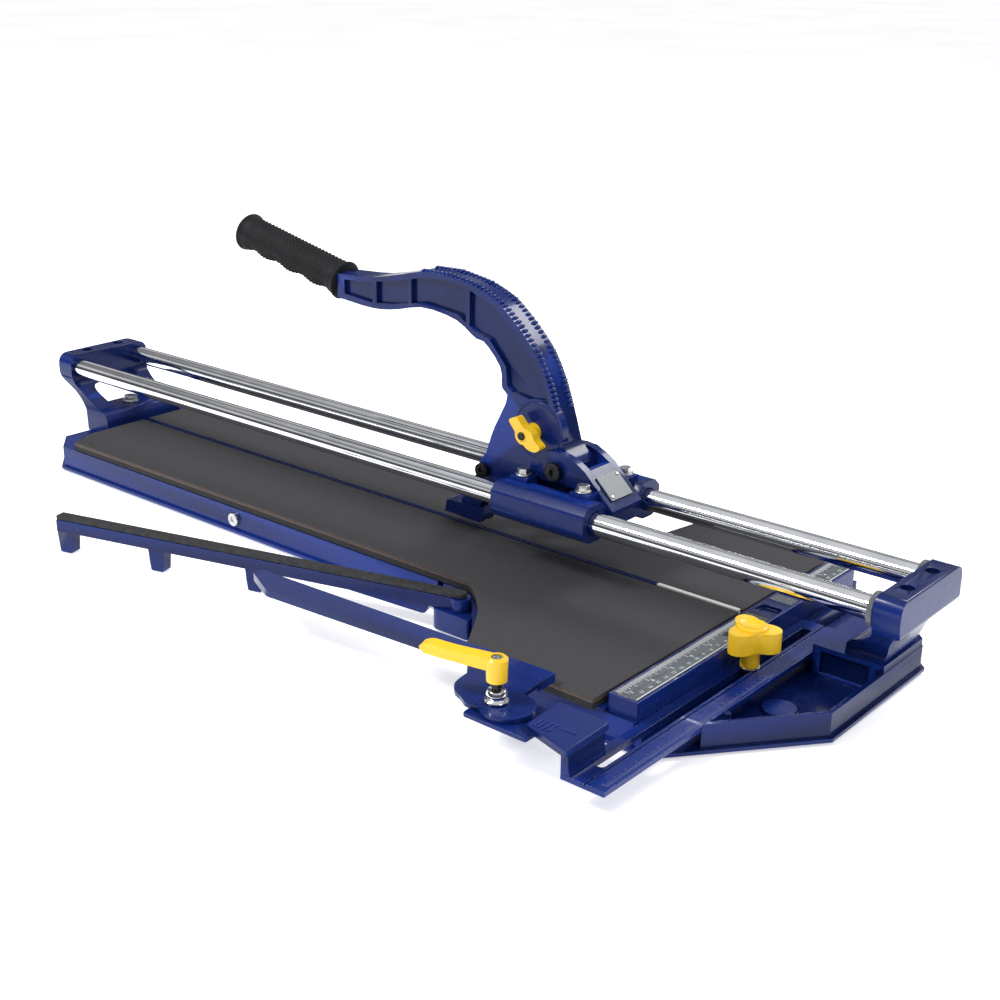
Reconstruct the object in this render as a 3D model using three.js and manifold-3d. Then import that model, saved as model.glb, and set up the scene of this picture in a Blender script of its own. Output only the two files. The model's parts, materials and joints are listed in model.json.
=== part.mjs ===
// Manual tile cutter with twin guide rails, a lever handle, a sliding side guide and a swinging support arm.
// Millimetres, +Z up. The cut line runs along X at y = 0, and z = 0 is the bench under the rubber feet.
import * as THREE from 'three';
import { mergeVertices } from 'three/addons/utils/BufferGeometryUtils.js';
import Module from 'manifold-3d';

const wasm = await Module();
wasm.setup();

// ---------------------------------------------------------------- driving dimensions
const GAP = 0.3; // between pieces that touch
const RUNNING_GAP = 0.5; // between pieces that slide or turn on each other

const RAIL_DIAMETER = 19.05;
const RAIL_SPACING = 76.2;
const RAIL_HEIGHT = 90; // rail centre above the bench

const FOOT_HEIGHT = 2; // rubber foot below the castings
const DECK_TOP = 26;
const DECK_THICKNESS = 3.5;
const WALL = 4;
const FLANGE = 3; // lip round the bottom of the castings
const FLANGE_HEIGHT = 3;
const BASE_LEFT = -457;
const BASE_RIGHT = 472;
const SEAM = 110; // where the long casting meets the end casting
const BASE_HALF_WIDTH = 104.5;
const FRONT_WING = 193; // half width of the end casting towards the operator
const BACK_WING = 143;
const TRAY_RIM = 24;

const PAD_THICKNESS = 9;
const PAD_LEFT = BASE_LEFT + 39;
const PAD_RIGHT = BASE_RIGHT - 131;
const PAD_HALF_WIDTH = 101;
const PAD_FRONT = 197;
const PAD_BACK = 140;
const CUT_RIB_WIDTH = 4.4;
const CUT_RIB_PROUD = 0.6; // above the pads
const CUT_RIB_END = 261;

const FENCE_WIDTH = 25.2;
const FENCE_TOP = 38;
const FENCE_FRONT = -186;
const FENCE_BACK = 133;
const RULER_WIDTH = 20;
const RULER_THICKNESS = 0.8;

const BAR_LENGTH = 320;
const BAR_FRONT = -274;
const BAR_WIDTH = 36;
const BAR_TOP = 22;
const BAR_THICKNESS = 4.2;
const BAR_SLOT = 8;
const BAR_SLOT_FROM_EDGE = 9;
const BAR_SLOT_MARGINS = [24, 15]; // solid bar beyond the front and back ends of its slot

const KNOB_Y = -58;
const STUD_DIAMETER = 7;
const STAR_STEM_DIAMETER = 14.6;
const STAR_HEAD_RADIUS = 22.5;

const PIVOT = { x: 302, y: -256 }; // stop arm and clamp lever
const DISC_RADIUS = 20; // round end of the stop arm
const DISC_THICKNESS = 3.4;
const BRACKET_PLATE = 5.5;
const STOP_ARM_LENGTH = 290;
const STOP_ARM_TILT = 2.5; // degrees between the arm's edge and the cut line
const SPINDLE_DIAMETER = 7.5;
const LEVER_LENGTH = 57;
const LEVER_HUB_DIAMETER = 14.7;
const LEVER_ANGLE = 198.8; // degrees from +X

const HINGE = { x: 150, y: -121 }; // support arm
const SUPPORT_ARM_LENGTH = 408;
const SUPPORT_ARM_WIDTH = 11;
const SUPPORT_ARM_ANGLE = 195.9; // degrees from +X
const SUPPORT_PAD_THICKNESS = 4;
const HINGE_PIN_DIAMETER = 8;

const TOWER_TOP = 104.8;
const TOWER_HALF_WIDTH = 50.5;
const LEFT_TOWER_OUTER = BASE_LEFT - 41;
const RIGHT_TOWER_OUTER = BASE_RIGHT + 25;
const TOWER_BAR = 22; // rail clamp, measured along the rails
const CLAMP_SCREW_Y = 20.5;
const PLATFORM_TOP = 30;

const SLEEVE_LEFT = 124;
const SLEEVE_RIGHT = 222;
const SLEEVE_DIAMETER = 32;
const BUSH_DIAMETER = 25;
const HANDLE_PIVOT = { x: 167, z: 117.5 };
const HANDLE_WIDTH = 26;
const POCKET_DEPTH = 4; // recesses in the handle's sides
const CHEEK_THICKNESS = 7.4;
const PIVOT_PIN_DIAMETER = 10;
const YOKE_BOLT_X = [140, 203];

const GRIP_DIAMETER = 33;
const GRIP_LENGTH = 135;
const GRIP_TILT = 12.35; // degrees, far end higher
const GRIP_NEAR = { x: -99.4, z: 236.4 };
const TANG_DIAMETER = 20;

const WHEEL_DIAMETER = 22;
const WHEEL_WIDTH = 5.4;
const WHEEL_CENTRE = { x: 107, z: 65 };
const AXLE_DIAMETER = 5;
const WING_KNOB = { x: 137, z: 144 };
const WING_KNOB_SPAN = 44;
const FOOT_PIVOT = { x: 82, z: 97 };
const FOOT_PIN_DIAMETER = 8;
const SHOE_BOTTOM = 43.5;

// ---------------------------------------------------------------- derived places
const railY = RAIL_SPACING / 2;
const openBoreGap = GAP * 2; // round the rails at the ends of the sleeves
const padBottom = DECK_TOP + GAP;
const padTop = padBottom + PAD_THICKNESS;
const fenceLeft = PAD_RIGHT + 5.3;
const fenceRight = fenceLeft + FENCE_WIDTH;
const barLeft = fenceRight + RUNNING_GAP;
const barRight = barLeft + BAR_WIDTH;
const barBottom = BAR_TOP - BAR_THICKNESS;
const slotLeft = barLeft + BAR_SLOT_FROM_EDGE;
const slotRight = slotLeft + BAR_SLOT;
const slotCentre = (slotLeft + slotRight) / 2;
const fenceSeat = 19;
const channelLeft = barLeft - RUNNING_GAP;
const channelRight = barRight + RUNNING_GAP;
const platformLeft = channelRight + GAP;
const lowerPlateBottom = padTop + 1;
const lowerPlateTop = lowerPlateBottom + 3.4;
const discBottom = lowerPlateTop + GAP;
const discTop = discBottom + DISC_THICKNESS;
const yokeSeat = RAIL_HEIGHT + SLEEVE_DIAMETER / 2 + 0.4;
const bushLeft = SLEEVE_LEFT + 4;
const bushRight = SLEEVE_RIGHT - 4;
const cheekInner = HANDLE_WIDTH / 2 + RUNNING_GAP;
const cheekOuter = cheekInner + CHEEK_THICKNESS;
const yokeBoltY = cheekOuter + 8.6;
const slopeHalf = Math.min(cheekOuter, railY - SLEEVE_DIAMETER / 2 - GAP);
const supportPadTop = padTop;
const leftFootTop = 50.5;
const supportTop = supportPadTop - SUPPORT_PAD_THICKNESS - GAP;

// ---------------------------------------------------------------- finishes
const finishes = {
  blue: { color: 0x1b2458, roughness: 0.28, metalness: 0.1 },
  rubber: { color: 0x434346, roughness: 0.9, metalness: 0 },
  foot: { color: 0x1c1c1e, roughness: 0.9, metalness: 0 },
  chrome: { color: 0xd4d7da, roughness: 0.12, metalness: 1 },
  zinc: { color: 0xb9bbb8, roughness: 0.35, metalness: 1 },
  blackSteel: { color: 0x2a2a2c, roughness: 0.4, metalness: 0.8 },
  yellow: { color: 0xf6c51b, roughness: 0.4, metalness: 0 },
  grip: { color: 0x1f2023, roughness: 0.8, metalness: 0 },
  ruler: { color: 0x8d9296, roughness: 0.4, metalness: 0.7 },
  white: { color: 0xe4e4e2, roughness: 0.5, metalness: 0 },
  bronze: { color: 0xa58350, roughness: 0.4, metalness: 0.9 },
  carbide: { color: 0x9a9da1, roughness: 0.25, metalness: 1 },
  ring: { color: 0x55585c, roughness: 0.8, metalness: 0 },
};

// ---------------------------------------------------------------- geometry helpers
function toSolid(geometry) {
  const plain = geometry.clone();
  plain.deleteAttribute('normal');
  plain.deleteAttribute('uv');
  const merged = mergeVertices(plain, 1e-4);
  return new wasm.Manifold(new wasm.Mesh({
    numProp: 3,
    vertProperties: new Float32Array(merged.attributes.position.array),
    triVerts: new Uint32Array(merged.index.array),
  }));
}

function toGeometry(solid) {
  const mesh = solid.getMesh();
  const geometry = new THREE.BufferGeometry();
  geometry.setAttribute('position', new THREE.BufferAttribute(new Float32Array(mesh.vertProperties), 3));
  geometry.setIndex(new THREE.BufferAttribute(new Uint32Array(mesh.triVerts), 1));
  return geometry;
}

function combine(operation, first, others) {
  let solid = toSolid(first);
  for (const other of others) solid = solid[operation](toSolid(other));
  return toGeometry(solid);
}

const join = (first, ...others) => combine('add', first, others);
const cut = (first, ...others) => combine('subtract', first, others);
const common = (first, ...others) => combine('intersect', first, others);

function block(x0, x1, y0, y1, z0, z1) {
  const box = new THREE.BoxGeometry(x1 - x0, y1 - y0, z1 - z0);
  return box.translate((x0 + x1) / 2, (y0 + y1) / 2, (z0 + z1) / 2);
}

// A round bar of the given radius between two distances along an axis, centred on the other two coordinates.
function rod(axis, radius, from, to, a, b, sides = 28) {
  const bar = new THREE.CylinderGeometry(radius, radius, to - from, sides);
  const middle = (from + to) / 2;
  if (axis === 'x') return bar.rotateZ(-Math.PI / 2).translate(middle, a, b);
  if (axis === 'y') return bar.translate(a, middle, b);
  return bar.rotateX(Math.PI / 2).translate(a, b, middle);
}

function hexagon(acrossFlats, z0, z1, x, y) {
  return rod('z', acrossFlats / Math.sqrt(3), z0, z1, x, y, 6);
}

// Outline from [u, v] or [u, v, radius] corners, each rounded corner drawn as one curve.
function outline(corners) {
  const shape = new THREE.Shape();
  corners.forEach((corner, i) => {
    const here = new THREE.Vector2(corner[0], corner[1]);
    const radius = corner[2] || 0;
    const before = corners[(i + corners.length - 1) % corners.length];
    const after = corners[(i + 1) % corners.length];
    const inward = new THREE.Vector2(before[0], before[1]).sub(here);
    const onward = new THREE.Vector2(after[0], after[1]).sub(here);
    const start = here.clone().addScaledVector(inward.clone().normalize(), Math.min(radius, inward.length() / 2));
    const end = here.clone().addScaledVector(onward.clone().normalize(), Math.min(radius, onward.length() / 2));
    if (i === 0) shape.moveTo(start.x, start.y);
    else shape.lineTo(start.x, start.y);
    if (radius) shape.quadraticCurveTo(here.x, here.y, end.x, end.y);
  });
  shape.closePath();
  return shape;
}

function extrude(shape, depth, curveSegments = 5) {
  const source = shape instanceof THREE.Shape ? shape : outline(shape);
  return new THREE.ExtrudeGeometry(source, { depth, bevelEnabled: false, curveSegments });
}

// Outlines drawn in plan (x, y), from the side (x, z) and from the end (y, z).
const plan = (shape, z0, z1) => extrude(shape, z1 - z0).translate(0, 0, z0);
const side = (shape, y0, y1) => extrude(shape, y1 - y0).rotateX(Math.PI / 2).translate(0, y1, 0);

function end(shape, x0, x1) {
  const turn = new THREE.Matrix4().makeBasis(
    new THREE.Vector3(0, 1, 0), new THREE.Vector3(0, 0, 1), new THREE.Vector3(1, 0, 0));
  return extrude(shape, x1 - x0).applyMatrix4(turn).translate(x0, 0, 0);
}

// Turned piece about Z from [radius, z] points that start and end on the axis.
function turned(points, x, y, sides = 32) {
  const profile = points.map(([radius, z]) => new THREE.Vector2(radius, z));
  return new THREE.LatheGeometry(profile, sides).rotateX(Math.PI / 2).translate(x, y, 0);
}

// Moves every edge of a counter-clockwise polygon inwards.
function inset(points, distance) {
  return points.map(([x, y], i) => {
    const [px, py] = points[(i + points.length - 1) % points.length];
    const [nx, ny] = points[(i + 1) % points.length];
    const into = new THREE.Vector2(x - px, y - py).normalize();
    const out = new THREE.Vector2(nx - x, ny - y).normalize();
    const a = new THREE.Vector2(-into.y, into.x);
    const b = new THREE.Vector2(-out.y, out.x);
    const scale = distance / (1 + a.dot(b));
    return [x + (a.x + b.x) * scale, y + (a.y + b.y) * scale];
  });
}

// ---------------------------------------------------------------- assembly
const cutter = new THREE.Group();

function bodyAt(parent, x, y, z, turn = 0) {
  const group = new THREE.Group();
  group.position.set(x, y, z);
  group.rotation.z = THREE.MathUtils.degToRad(turn);
  parent.add(group);
  return group;
}

function add(parent, name, finish, geometry) {
  geometry.computeVertexNormals();
  const mesh = new THREE.Mesh(geometry, new THREE.MeshStandardMaterial(finishes[finish]));
  mesh.name = name;
  parent.add(mesh);
  return mesh;
}

// ---------------------------------------------------------------- base castings
const footPlaces = {
  left_front: [BASE_LEFT + 45, -BASE_HALF_WIDTH + 20],
  left_back: [BASE_LEFT + 45, BASE_HALF_WIDTH - 20],
  centre: [0, 0],
  right_front: [BASE_RIGHT - 50, -75],
  right_back: [BASE_RIGHT - 45, 30],
};
const footRadius = 9;

const longOutline = [
  [BASE_LEFT, -BASE_HALF_WIDTH + 24], [BASE_LEFT + 29, -BASE_HALF_WIDTH],
  [SEAM, -BASE_HALF_WIDTH], [SEAM, BASE_HALF_WIDTH],
  [BASE_LEFT + 29, BASE_HALF_WIDTH], [BASE_LEFT, BASE_HALF_WIDTH - 24],
];

const endOutline = [
  [SEAM + GAP, -BASE_HALF_WIDTH], [SEAM + 35, -BASE_HALF_WIDTH], [SEAM + 102, -FRONT_WING + 9],
  [SEAM + 106, -FRONT_WING], [BASE_RIGHT - 86, -FRONT_WING], [BASE_RIGHT, -FRONT_WING + 107],
  [BASE_RIGHT, 62], [BASE_RIGHT - 10, 72], [BASE_RIGHT - 77, BACK_WING - 23],
  [BASE_RIGHT - 100, BACK_WING], [SEAM + 96, BACK_WING], [SEAM + 90, BASE_HALF_WIDTH],
  [SEAM + GAP, BASE_HALF_WIDTH],
];

// Walls with a bottom lip, open above and below.
function rimOf(points, top) {
  const wall = plan(inset(points, FLANGE), FOOT_HEIGHT, top);
  const lip = plan(points, FOOT_HEIGHT, FOOT_HEIGHT + FLANGE_HEIGHT);
  return cut(join(wall, lip), plan(inset(points, FLANGE + WALL), 0, top + 10));
}

function footBoss(place) {
  return rod('z', footRadius + 4.7, FOOT_HEIGHT + 1.5, DECK_TOP - 1, place[0], place[1], 20);
}

function footSocket(place) {
  return rod('z', footRadius + GAP, 0, FOOT_HEIGHT + 4, place[0], place[1], 20);
}

function baseCasting() {
  const deck = plan(inset(longOutline, FLANGE), DECK_TOP - DECK_THICKNESS, DECK_TOP);
  const ribs = [-340, -225, -110, 5].map((x) =>
    block(x, x + WALL, -BASE_HALF_WIDTH + 5, BASE_HALF_WIDTH - 5, FOOT_HEIGHT + 4, DECK_TOP - 1));
  const spine = block(BASE_LEFT + 5, SEAM - 1, -WALL / 2, WALL / 2, FOOT_HEIGHT + 4, DECK_TOP - 1);
  const boltBoss = rod('z', 9, FOOT_HEIGHT + 6, DECK_TOP - 1, TOWER_BOLT.x, 0, 20);
  const feet = [footPlaces.left_front, footPlaces.left_back, footPlaces.centre];
  const bosses = feet.map(footBoss);
  const sockets = feet.map(footSocket);
  const casting = join(rimOf(longOutline, DECK_TOP), deck, ...ribs, spine, boltBoss, ...bosses);
  const boltHole = rod('z', 4 + GAP, FOOT_HEIGHT + 10, DECK_TOP + 5, TOWER_BOLT.x, 0, 20);
  const screwHole = rod('y', 3 + GAP, -BASE_HALF_WIDTH - 5, -BASE_HALF_WIDTH + 12, SIDE_SCREW.x, SIDE_SCREW.z, 16);
  return cut(casting, ...sockets, boltHole, screwHole);
}

const TOWER_BOLT = { x: BASE_LEFT + 14 };
const SIDE_SCREW = { x: -153, z: 15 };

const platformOutline = [
  [platformLeft, -5], [BASE_RIGHT - 3.5, -5], [BASE_RIGHT - 3.5, 60], [BASE_RIGHT - 12, 69],
  [platformLeft, 109],
];
const RIGHT_TOWER_BOLT = { x: BASE_RIGHT - 23, y: 24 };

function endCasting() {
  const wallEnd = fenceLeft - 0.5;
  const dividerLeft = wallEnd - 6;
  const top = DECK_TOP + 10;
  const deckArea = block(SEAM - 1, wallEnd, -FRONT_WING - 10, BACK_WING + 10, DECK_TOP - DECK_THICKNESS, DECK_TOP);
  const deck = common(plan(inset(endOutline, FLANGE), 0, DECK_TOP), deckArea);
  const lowRim = cut(rimOf(endOutline, DECK_TOP), block(wallEnd, BASE_RIGHT + 5, -250, 250, TRAY_RIM, top));
  const trayArea = block(wallEnd - 3, BASE_RIGHT + 5, -250, 250, FOOT_HEIGHT, FOOT_HEIGHT + FLANGE_HEIGHT);
  const floor = common(plan(inset(endOutline, 1), 0, TRAY_RIM), trayArea);
  const channel = block(channelLeft, channelRight, -250, 250, FOOT_HEIGHT + FLANGE_HEIGHT, top);
  const walls = cut(join(lowRim, floor), channel);
  const divider = join(
    block(dividerLeft, channelLeft, -FRONT_WING + 4, BACK_WING - 4, FOOT_HEIGHT, fenceSeat),
    block(dividerLeft, wallEnd, -FRONT_WING + 4, BACK_WING - 4, FOOT_HEIGHT, DECK_TOP),
    block(channelLeft - 1, slotLeft - 3, -FRONT_WING + 4, BACK_WING - 4, FOOT_HEIGHT, barBottom - GAP));
  const ribs = [-120, -60, 0, 60].map((y) =>
    block(SEAM + (y < -100 ? 75 : 4), dividerLeft + 1, y, y + WALL, FOOT_HEIGHT + 4, DECK_TOP - 1));
  const crossRib = block(SEAM + 120, SEAM + 120 + WALL, -FRONT_WING + 5, BACK_WING - 5, FOOT_HEIGHT + 4, DECK_TOP - 1);
  const platform = plan(platformOutline, FOOT_HEIGHT, PLATFORM_TOP);
  const platformHollow = plan(inset(platformOutline, WALL), 0, PLATFORM_TOP - WALL);
  const panel = block(platformLeft + 7, platformLeft + 48, -8, -3, FOOT_HEIGHT + 6, 26);
  const lug = plan([
    [HINGE.x - 22, -BASE_HALF_WIDTH + 4], [HINGE.x - 22, HINGE.y - 13, 8], [HINGE.x + 19, HINGE.y - 13, 4],
    [HINGE.x + 19, -BASE_HALF_WIDTH + 4]], FOOT_HEIGHT, 20);
  const pinHole = rod('z', HINGE_PIN_DIAMETER / 2 + GAP, FOOT_HEIGHT + 3, 30, HINGE.x, HINGE.y, 20);
  const studHole = rod('z', STUD_DIAMETER / 2 + GAP, 0, 10, slotCentre, KNOB_Y, 20);
  const boltHole = rod(
    'z', 4 + GAP, PLATFORM_TOP - 10, PLATFORM_TOP + 5, RIGHT_TOWER_BOLT.x, RIGHT_TOWER_BOLT.y, 20);
  const frontBoss = rod('z', footRadius + 4, FOOT_HEIGHT + 1.5, 8, ...footPlaces.right_front, 20);
  const body = join(walls, deck, divider, ...ribs, crossRib, platform, lug, frontBoss);
  const backBoss = rod('z', footRadius + 4, FOOT_HEIGHT + 1.5, PLATFORM_TOP - 1, ...footPlaces.right_back, 20);
  const sockets = ['right_front', 'right_back'].map((name) => footSocket(footPlaces[name]));
  return cut(join(cut(body, platformHollow, panel), backBoss), pinHole, studHole, boltHole, ...sockets);
}

function rubberFoot([x, y]) {
  return turned([[0, 0], [footRadius - 1, 0], [footRadius, 1], [footRadius, FOOT_HEIGHT + 3.5],
    [0, FOOT_HEIGHT + 3.5]], x, y, 20);
}

function makeBase() {
  add(cutter, 'base_casting', 'blue', baseCasting());
  add(cutter, 'end_casting', 'blue', endCasting());
  for (const [name, place] of Object.entries(footPlaces)) {
    add(cutter, `rubber_foot_${name}`, 'foot', rubberFoot(place));
  }
  const face = -BASE_HALF_WIDTH + FLANGE - GAP;
  const head = rod('y', 6.5, face - 3, face, SIDE_SCREW.x, SIDE_SCREW.z, 24);
  add(cutter, 'base_side_screw', 'zinc', join(head, rod('y', 3, face - 1, face + 10, SIDE_SCREW.x, SIDE_SCREW.z, 16)));
}

// ---------------------------------------------------------------- pads and cut line
function makePads() {
  const inner = CUT_RIB_WIDTH / 2 + 0.8;
  add(cutter, 'front_pad', 'rubber', plan([
    [PAD_LEFT, -inner], [PAD_LEFT, -PAD_HALF_WIDTH + 29], [PAD_LEFT + 12, -PAD_HALF_WIDTH],
    [SEAM + 34, -PAD_HALF_WIDTH, 6], [SEAM + 70, -PAD_HALF_WIDTH - 30, 30], [SEAM + 103, -PAD_FRONT + 13, 6],
    [SEAM + 108, -PAD_FRONT], [PAD_RIGHT, -PAD_FRONT], [PAD_RIGHT, -inner],
  ], padBottom, padTop));
  add(cutter, 'back_pad', 'rubber', plan([
    [PAD_LEFT, inner], [PAD_RIGHT, inner], [PAD_RIGHT, PAD_BACK], [SEAM + 98, PAD_BACK],
    [SEAM + 91, PAD_HALF_WIDTH], [PAD_LEFT + 12, PAD_HALF_WIDTH], [PAD_LEFT, PAD_HALF_WIDTH - 29],
  ], padBottom, padTop));
  const half = CUT_RIB_WIDTH / 2;
  const ribTop = padTop + CUT_RIB_PROUD;
  add(cutter, 'breaking_rib', 'blue', block(PAD_LEFT + 7, CUT_RIB_END, -half, half, padBottom, ribTop));
  add(cutter, 'cut_line_marker', 'white', block(CUT_RIB_END + GAP, PAD_RIGHT - 1.5, -half, half, padBottom, ribTop));
}

// ---------------------------------------------------------------- fence and rulers
const rulerLeft = fenceLeft + 2.3;
const inlays = {
  front_ruler: [-183, -15, 'ruler'],
  centre_mark_plate: [-12, -3, 'chrome'],
  reference_plate: [31, 43, 'ruler'],
  back_ruler: [70, 130, 'ruler'],
};

function makeFence() {
  const bodyOfFence = block(fenceLeft, fenceRight, FENCE_FRONT, FENCE_BACK, fenceSeat + GAP, FENCE_TOP);
  const seats = Object.values(inlays).map(([from, to]) => block(
    rulerLeft - GAP, rulerLeft + RULER_WIDTH + GAP, from - GAP, to + GAP,
    FENCE_TOP - RULER_THICKNESS - GAP, FENCE_TOP + 1));
  const pocket = plan([[rulerLeft + 1, 5, 5], [fenceRight - 3, 5, 5], [fenceRight - 3, 19, 5], [rulerLeft + 1, 19, 5]],
    FENCE_TOP - 3, FENCE_TOP + 1);
  add(cutter, 'fence', 'blue', cut(bodyOfFence, ...seats, pocket));
  for (const [name, [from, to, finish]] of Object.entries(inlays)) {
    add(cutter, name, finish,
      block(rulerLeft, rulerLeft + RULER_WIDTH, from, to, FENCE_TOP - RULER_THICKNESS, FENCE_TOP));
  }
}

// ---------------------------------------------------------------- towers and rails
const railLeft = LEFT_TOWER_OUTER + 6;
const railRight = RIGHT_TOWER_OUTER - 6;

function railBores(from, to) {
  return [-railY, railY].map((y) => rod('x', RAIL_DIAMETER / 2 + GAP, from, to, y, RAIL_HEIGHT, 28));
}

function clampHoles(x, radius, from, to) {
  return [-CLAMP_SCREW_Y, CLAMP_SCREW_Y].map((y) => rod('z', radius, from, to, x, y, 20));
}

function makeTower(sideName, body, barFrom, barTo, boreFrom, boreTo) {
  const screwX = (barFrom + barTo) / 2;
  const headSeat = TOWER_TOP - 9;
  const screwTip = headSeat - 9;
  const seats = clampHoles(screwX, 5.5, headSeat, TOWER_TOP + 5);
  const screwHoles = clampHoles(screwX, 3 + GAP, screwTip - GAP, TOWER_TOP);
  add(cutter, `${sideName}_tower`, 'blue', cut(body, ...railBores(boreFrom, boreTo), ...seats, ...screwHoles));
  for (const [place, y] of [['front', -CLAMP_SCREW_Y], ['back', CLAMP_SCREW_Y]]) {
    const head = rod('z', 4.9, headSeat + GAP, headSeat + 6, screwX, y, 20);
    const shank = rod('z', 3, screwTip, headSeat + 2, screwX, y, 16);
    const socket = hexagon(4.4, headSeat + 3, headSeat + 8, screwX, y);
    add(cutter, `${sideName}_clamp_screw_${place}`, 'blackSteel', cut(join(head, shank), socket));
  }
}

function leftTowerBody() {
  const x = LEFT_TOWER_OUTER;
  const profile = side([
    [x, TOWER_TOP, 2], [x, 79, 6], [x + 22, 64, 8], [x + 41, 48, 4], [x + 42, padBottom],
    [x + 78, padBottom], [x + 78, 42, 3], [x + 73, 50, 3], [x + 64, 51, 6], [x + 44, 58, 12],
    [x + TOWER_BAR, 74, 6], [x + TOWER_BAR, TOWER_TOP, 2]], -60, 60);
  const half = TOWER_HALF_WIDTH;
  const front = end([
    [-half, TOWER_TOP, 14], [-half, 80, 8], [-half + 6, 62, 14], [-half + 2, 46, 4], [-half + 2, 20],
    [half - 2, 20], [half - 2, 46, 4], [half - 6, 62, 14], [half, 80, 8], [half, TOWER_TOP, 14]], x - 5, x + 90);
  const opening = end([[-26, 50.5, 5], [26, 50.5, 5], [30, 70, 8], [-30, 70, 8]], x - 5, x + 90);
  const hollow = plan([[x + 46, -44], [x + 74, -44], [x + 74, 44], [x + 46, 44]], 20, 44);
  const boltHole = rod('z', 4 + GAP, 20, 60, TOWER_BOLT.x, 0, 20);
  return cut(common(profile, front), opening, hollow, boltHole);
}

function rightTowerBody() {
  const x = RIGHT_TOWER_OUTER;
  const foot = PLATFORM_TOP + GAP;
  const profile = side([
    [x, TOWER_TOP, 2], [x - TOWER_BAR, TOWER_TOP, 2], [x - TOWER_BAR, 76, 4], [x - 36, 56, 14],
    [x - 60, 44, 10], [x - 62, foot], [x - 31, foot], [x - 20, 56, 20], [x - 8, 72, 8], [x, 76, 3]], -60, 60);
  const half = TOWER_HALF_WIDTH;
  const front = end([
    [-half, TOWER_TOP, 12], [-half, 76, 12], [-36, 70, 8], [-4, 40, 12], [-4, foot - 5],
    [52, foot - 5], [50, 50, 6], [44, 72, 10], [half, 76, 4], [half, TOWER_TOP, 12]], x - 70, x + 5);
  const hole = rod('z', 4 + GAP, foot - 5, PLATFORM_TOP + 12, RIGHT_TOWER_BOLT.x, RIGHT_TOWER_BOLT.y, 20);
  return cut(common(profile, front), hole);
}

function makeTowersAndRails() {
  makeTower('left', leftTowerBody(), LEFT_TOWER_OUTER, LEFT_TOWER_OUTER + TOWER_BAR, railLeft - 1, 0);
  makeTower('right', rightTowerBody(), RIGHT_TOWER_OUTER - TOWER_BAR, RIGHT_TOWER_OUTER, 0, railRight + 1);
  const flange = rod('z', 9, leftFootTop + GAP, leftFootTop + 1.8, TOWER_BOLT.x, 0);
  const boltHead = hexagon(13, leftFootTop + 1, leftFootTop + 6.5, TOWER_BOLT.x, 0);
  const boltShank = rod('z', 4, FOOT_HEIGHT + 11, leftFootTop + 1, TOWER_BOLT.x, 0, 20);
  add(cutter, 'left_tower_bolt', 'zinc', join(flange, boltHead, boltShank));
  const under = PLATFORM_TOP - WALL - GAP;
  const head = hexagon(13, under - 5, under, RIGHT_TOWER_BOLT.x, RIGHT_TOWER_BOLT.y);
  const shank = rod('z', 4, under - 1, PLATFORM_TOP + 11, RIGHT_TOWER_BOLT.x, RIGHT_TOWER_BOLT.y, 20);
  add(cutter, 'right_tower_bolt', 'zinc', join(head, shank));
  for (const [name, y] of [['front', -railY], ['back', railY]]) {
    add(cutter, `${name}_rail`, 'chrome', rod('x', RAIL_DIAMETER / 2, railLeft, railRight, y, RAIL_HEIGHT, 32));
    const stop = RIGHT_TOWER_OUTER - TOWER_BAR - GAP;
    const ring = rod('x', 13.5, stop - 4.5, stop - GAP, y, RAIL_HEIGHT, 28);
    const bore = rod('x', RAIL_DIAMETER / 2 + GAP, stop - 10, stop + 5, y, RAIL_HEIGHT, 28);
    add(cutter, `${name}_rail_bumper`, 'ring', cut(ring, bore));
  }
}

// ---------------------------------------------------------------- carriage
function carriageBody() {
  const half = SLEEVE_DIAMETER / 2;
  const flat = half - 7;
  const sleeves = [-railY, railY].map((y) => end([
    [y + half, RAIL_HEIGHT + flat, 2], [y + flat, RAIL_HEIGHT + half, 2], [y - flat, RAIL_HEIGHT + half, 2],
    [y - half, RAIL_HEIGHT + flat, 2], [y - half, RAIL_HEIGHT - flat, 4], [y - flat, RAIL_HEIGHT - half, 4],
    [y + flat, RAIL_HEIGHT - half, 4], [y + half, RAIL_HEIGHT - flat, 4]], SLEEVE_LEFT, SLEEVE_RIGHT));
  const bridge = side([
    [SLEEVE_LEFT + 28, 79], [SLEEVE_RIGHT, 79], [SLEEVE_RIGHT, 91], [SLEEVE_LEFT + 70, 91],
    [SLEEVE_LEFT + 28, 88]], -railY, railY);
  const seats = [];
  for (const x of YOKE_BOLT_X) {
    for (const s of [-1, 1]) {
      const inner = s * (yokeBoltY - 7.5);
      const outer = s * (yokeBoltY + 7);
      seats.push(block(x - 9, x + 9, Math.min(inner, outer), Math.max(inner, outer), RAIL_HEIGHT, yokeSeat));
    }
  }
  const bores = [-railY, railY].flatMap((y) => [
    rod('x', BUSH_DIAMETER / 2 + GAP, bushLeft - GAP, bushRight + GAP, y, RAIL_HEIGHT, 32),
    rod('x', RAIL_DIAMETER / 2 + openBoreGap, SLEEVE_LEFT - 5, SLEEVE_RIGHT + 5, y, RAIL_HEIGHT, 32)]);
  return cut(join(...sleeves, bridge, ...seats), ...bores);
}

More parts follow.
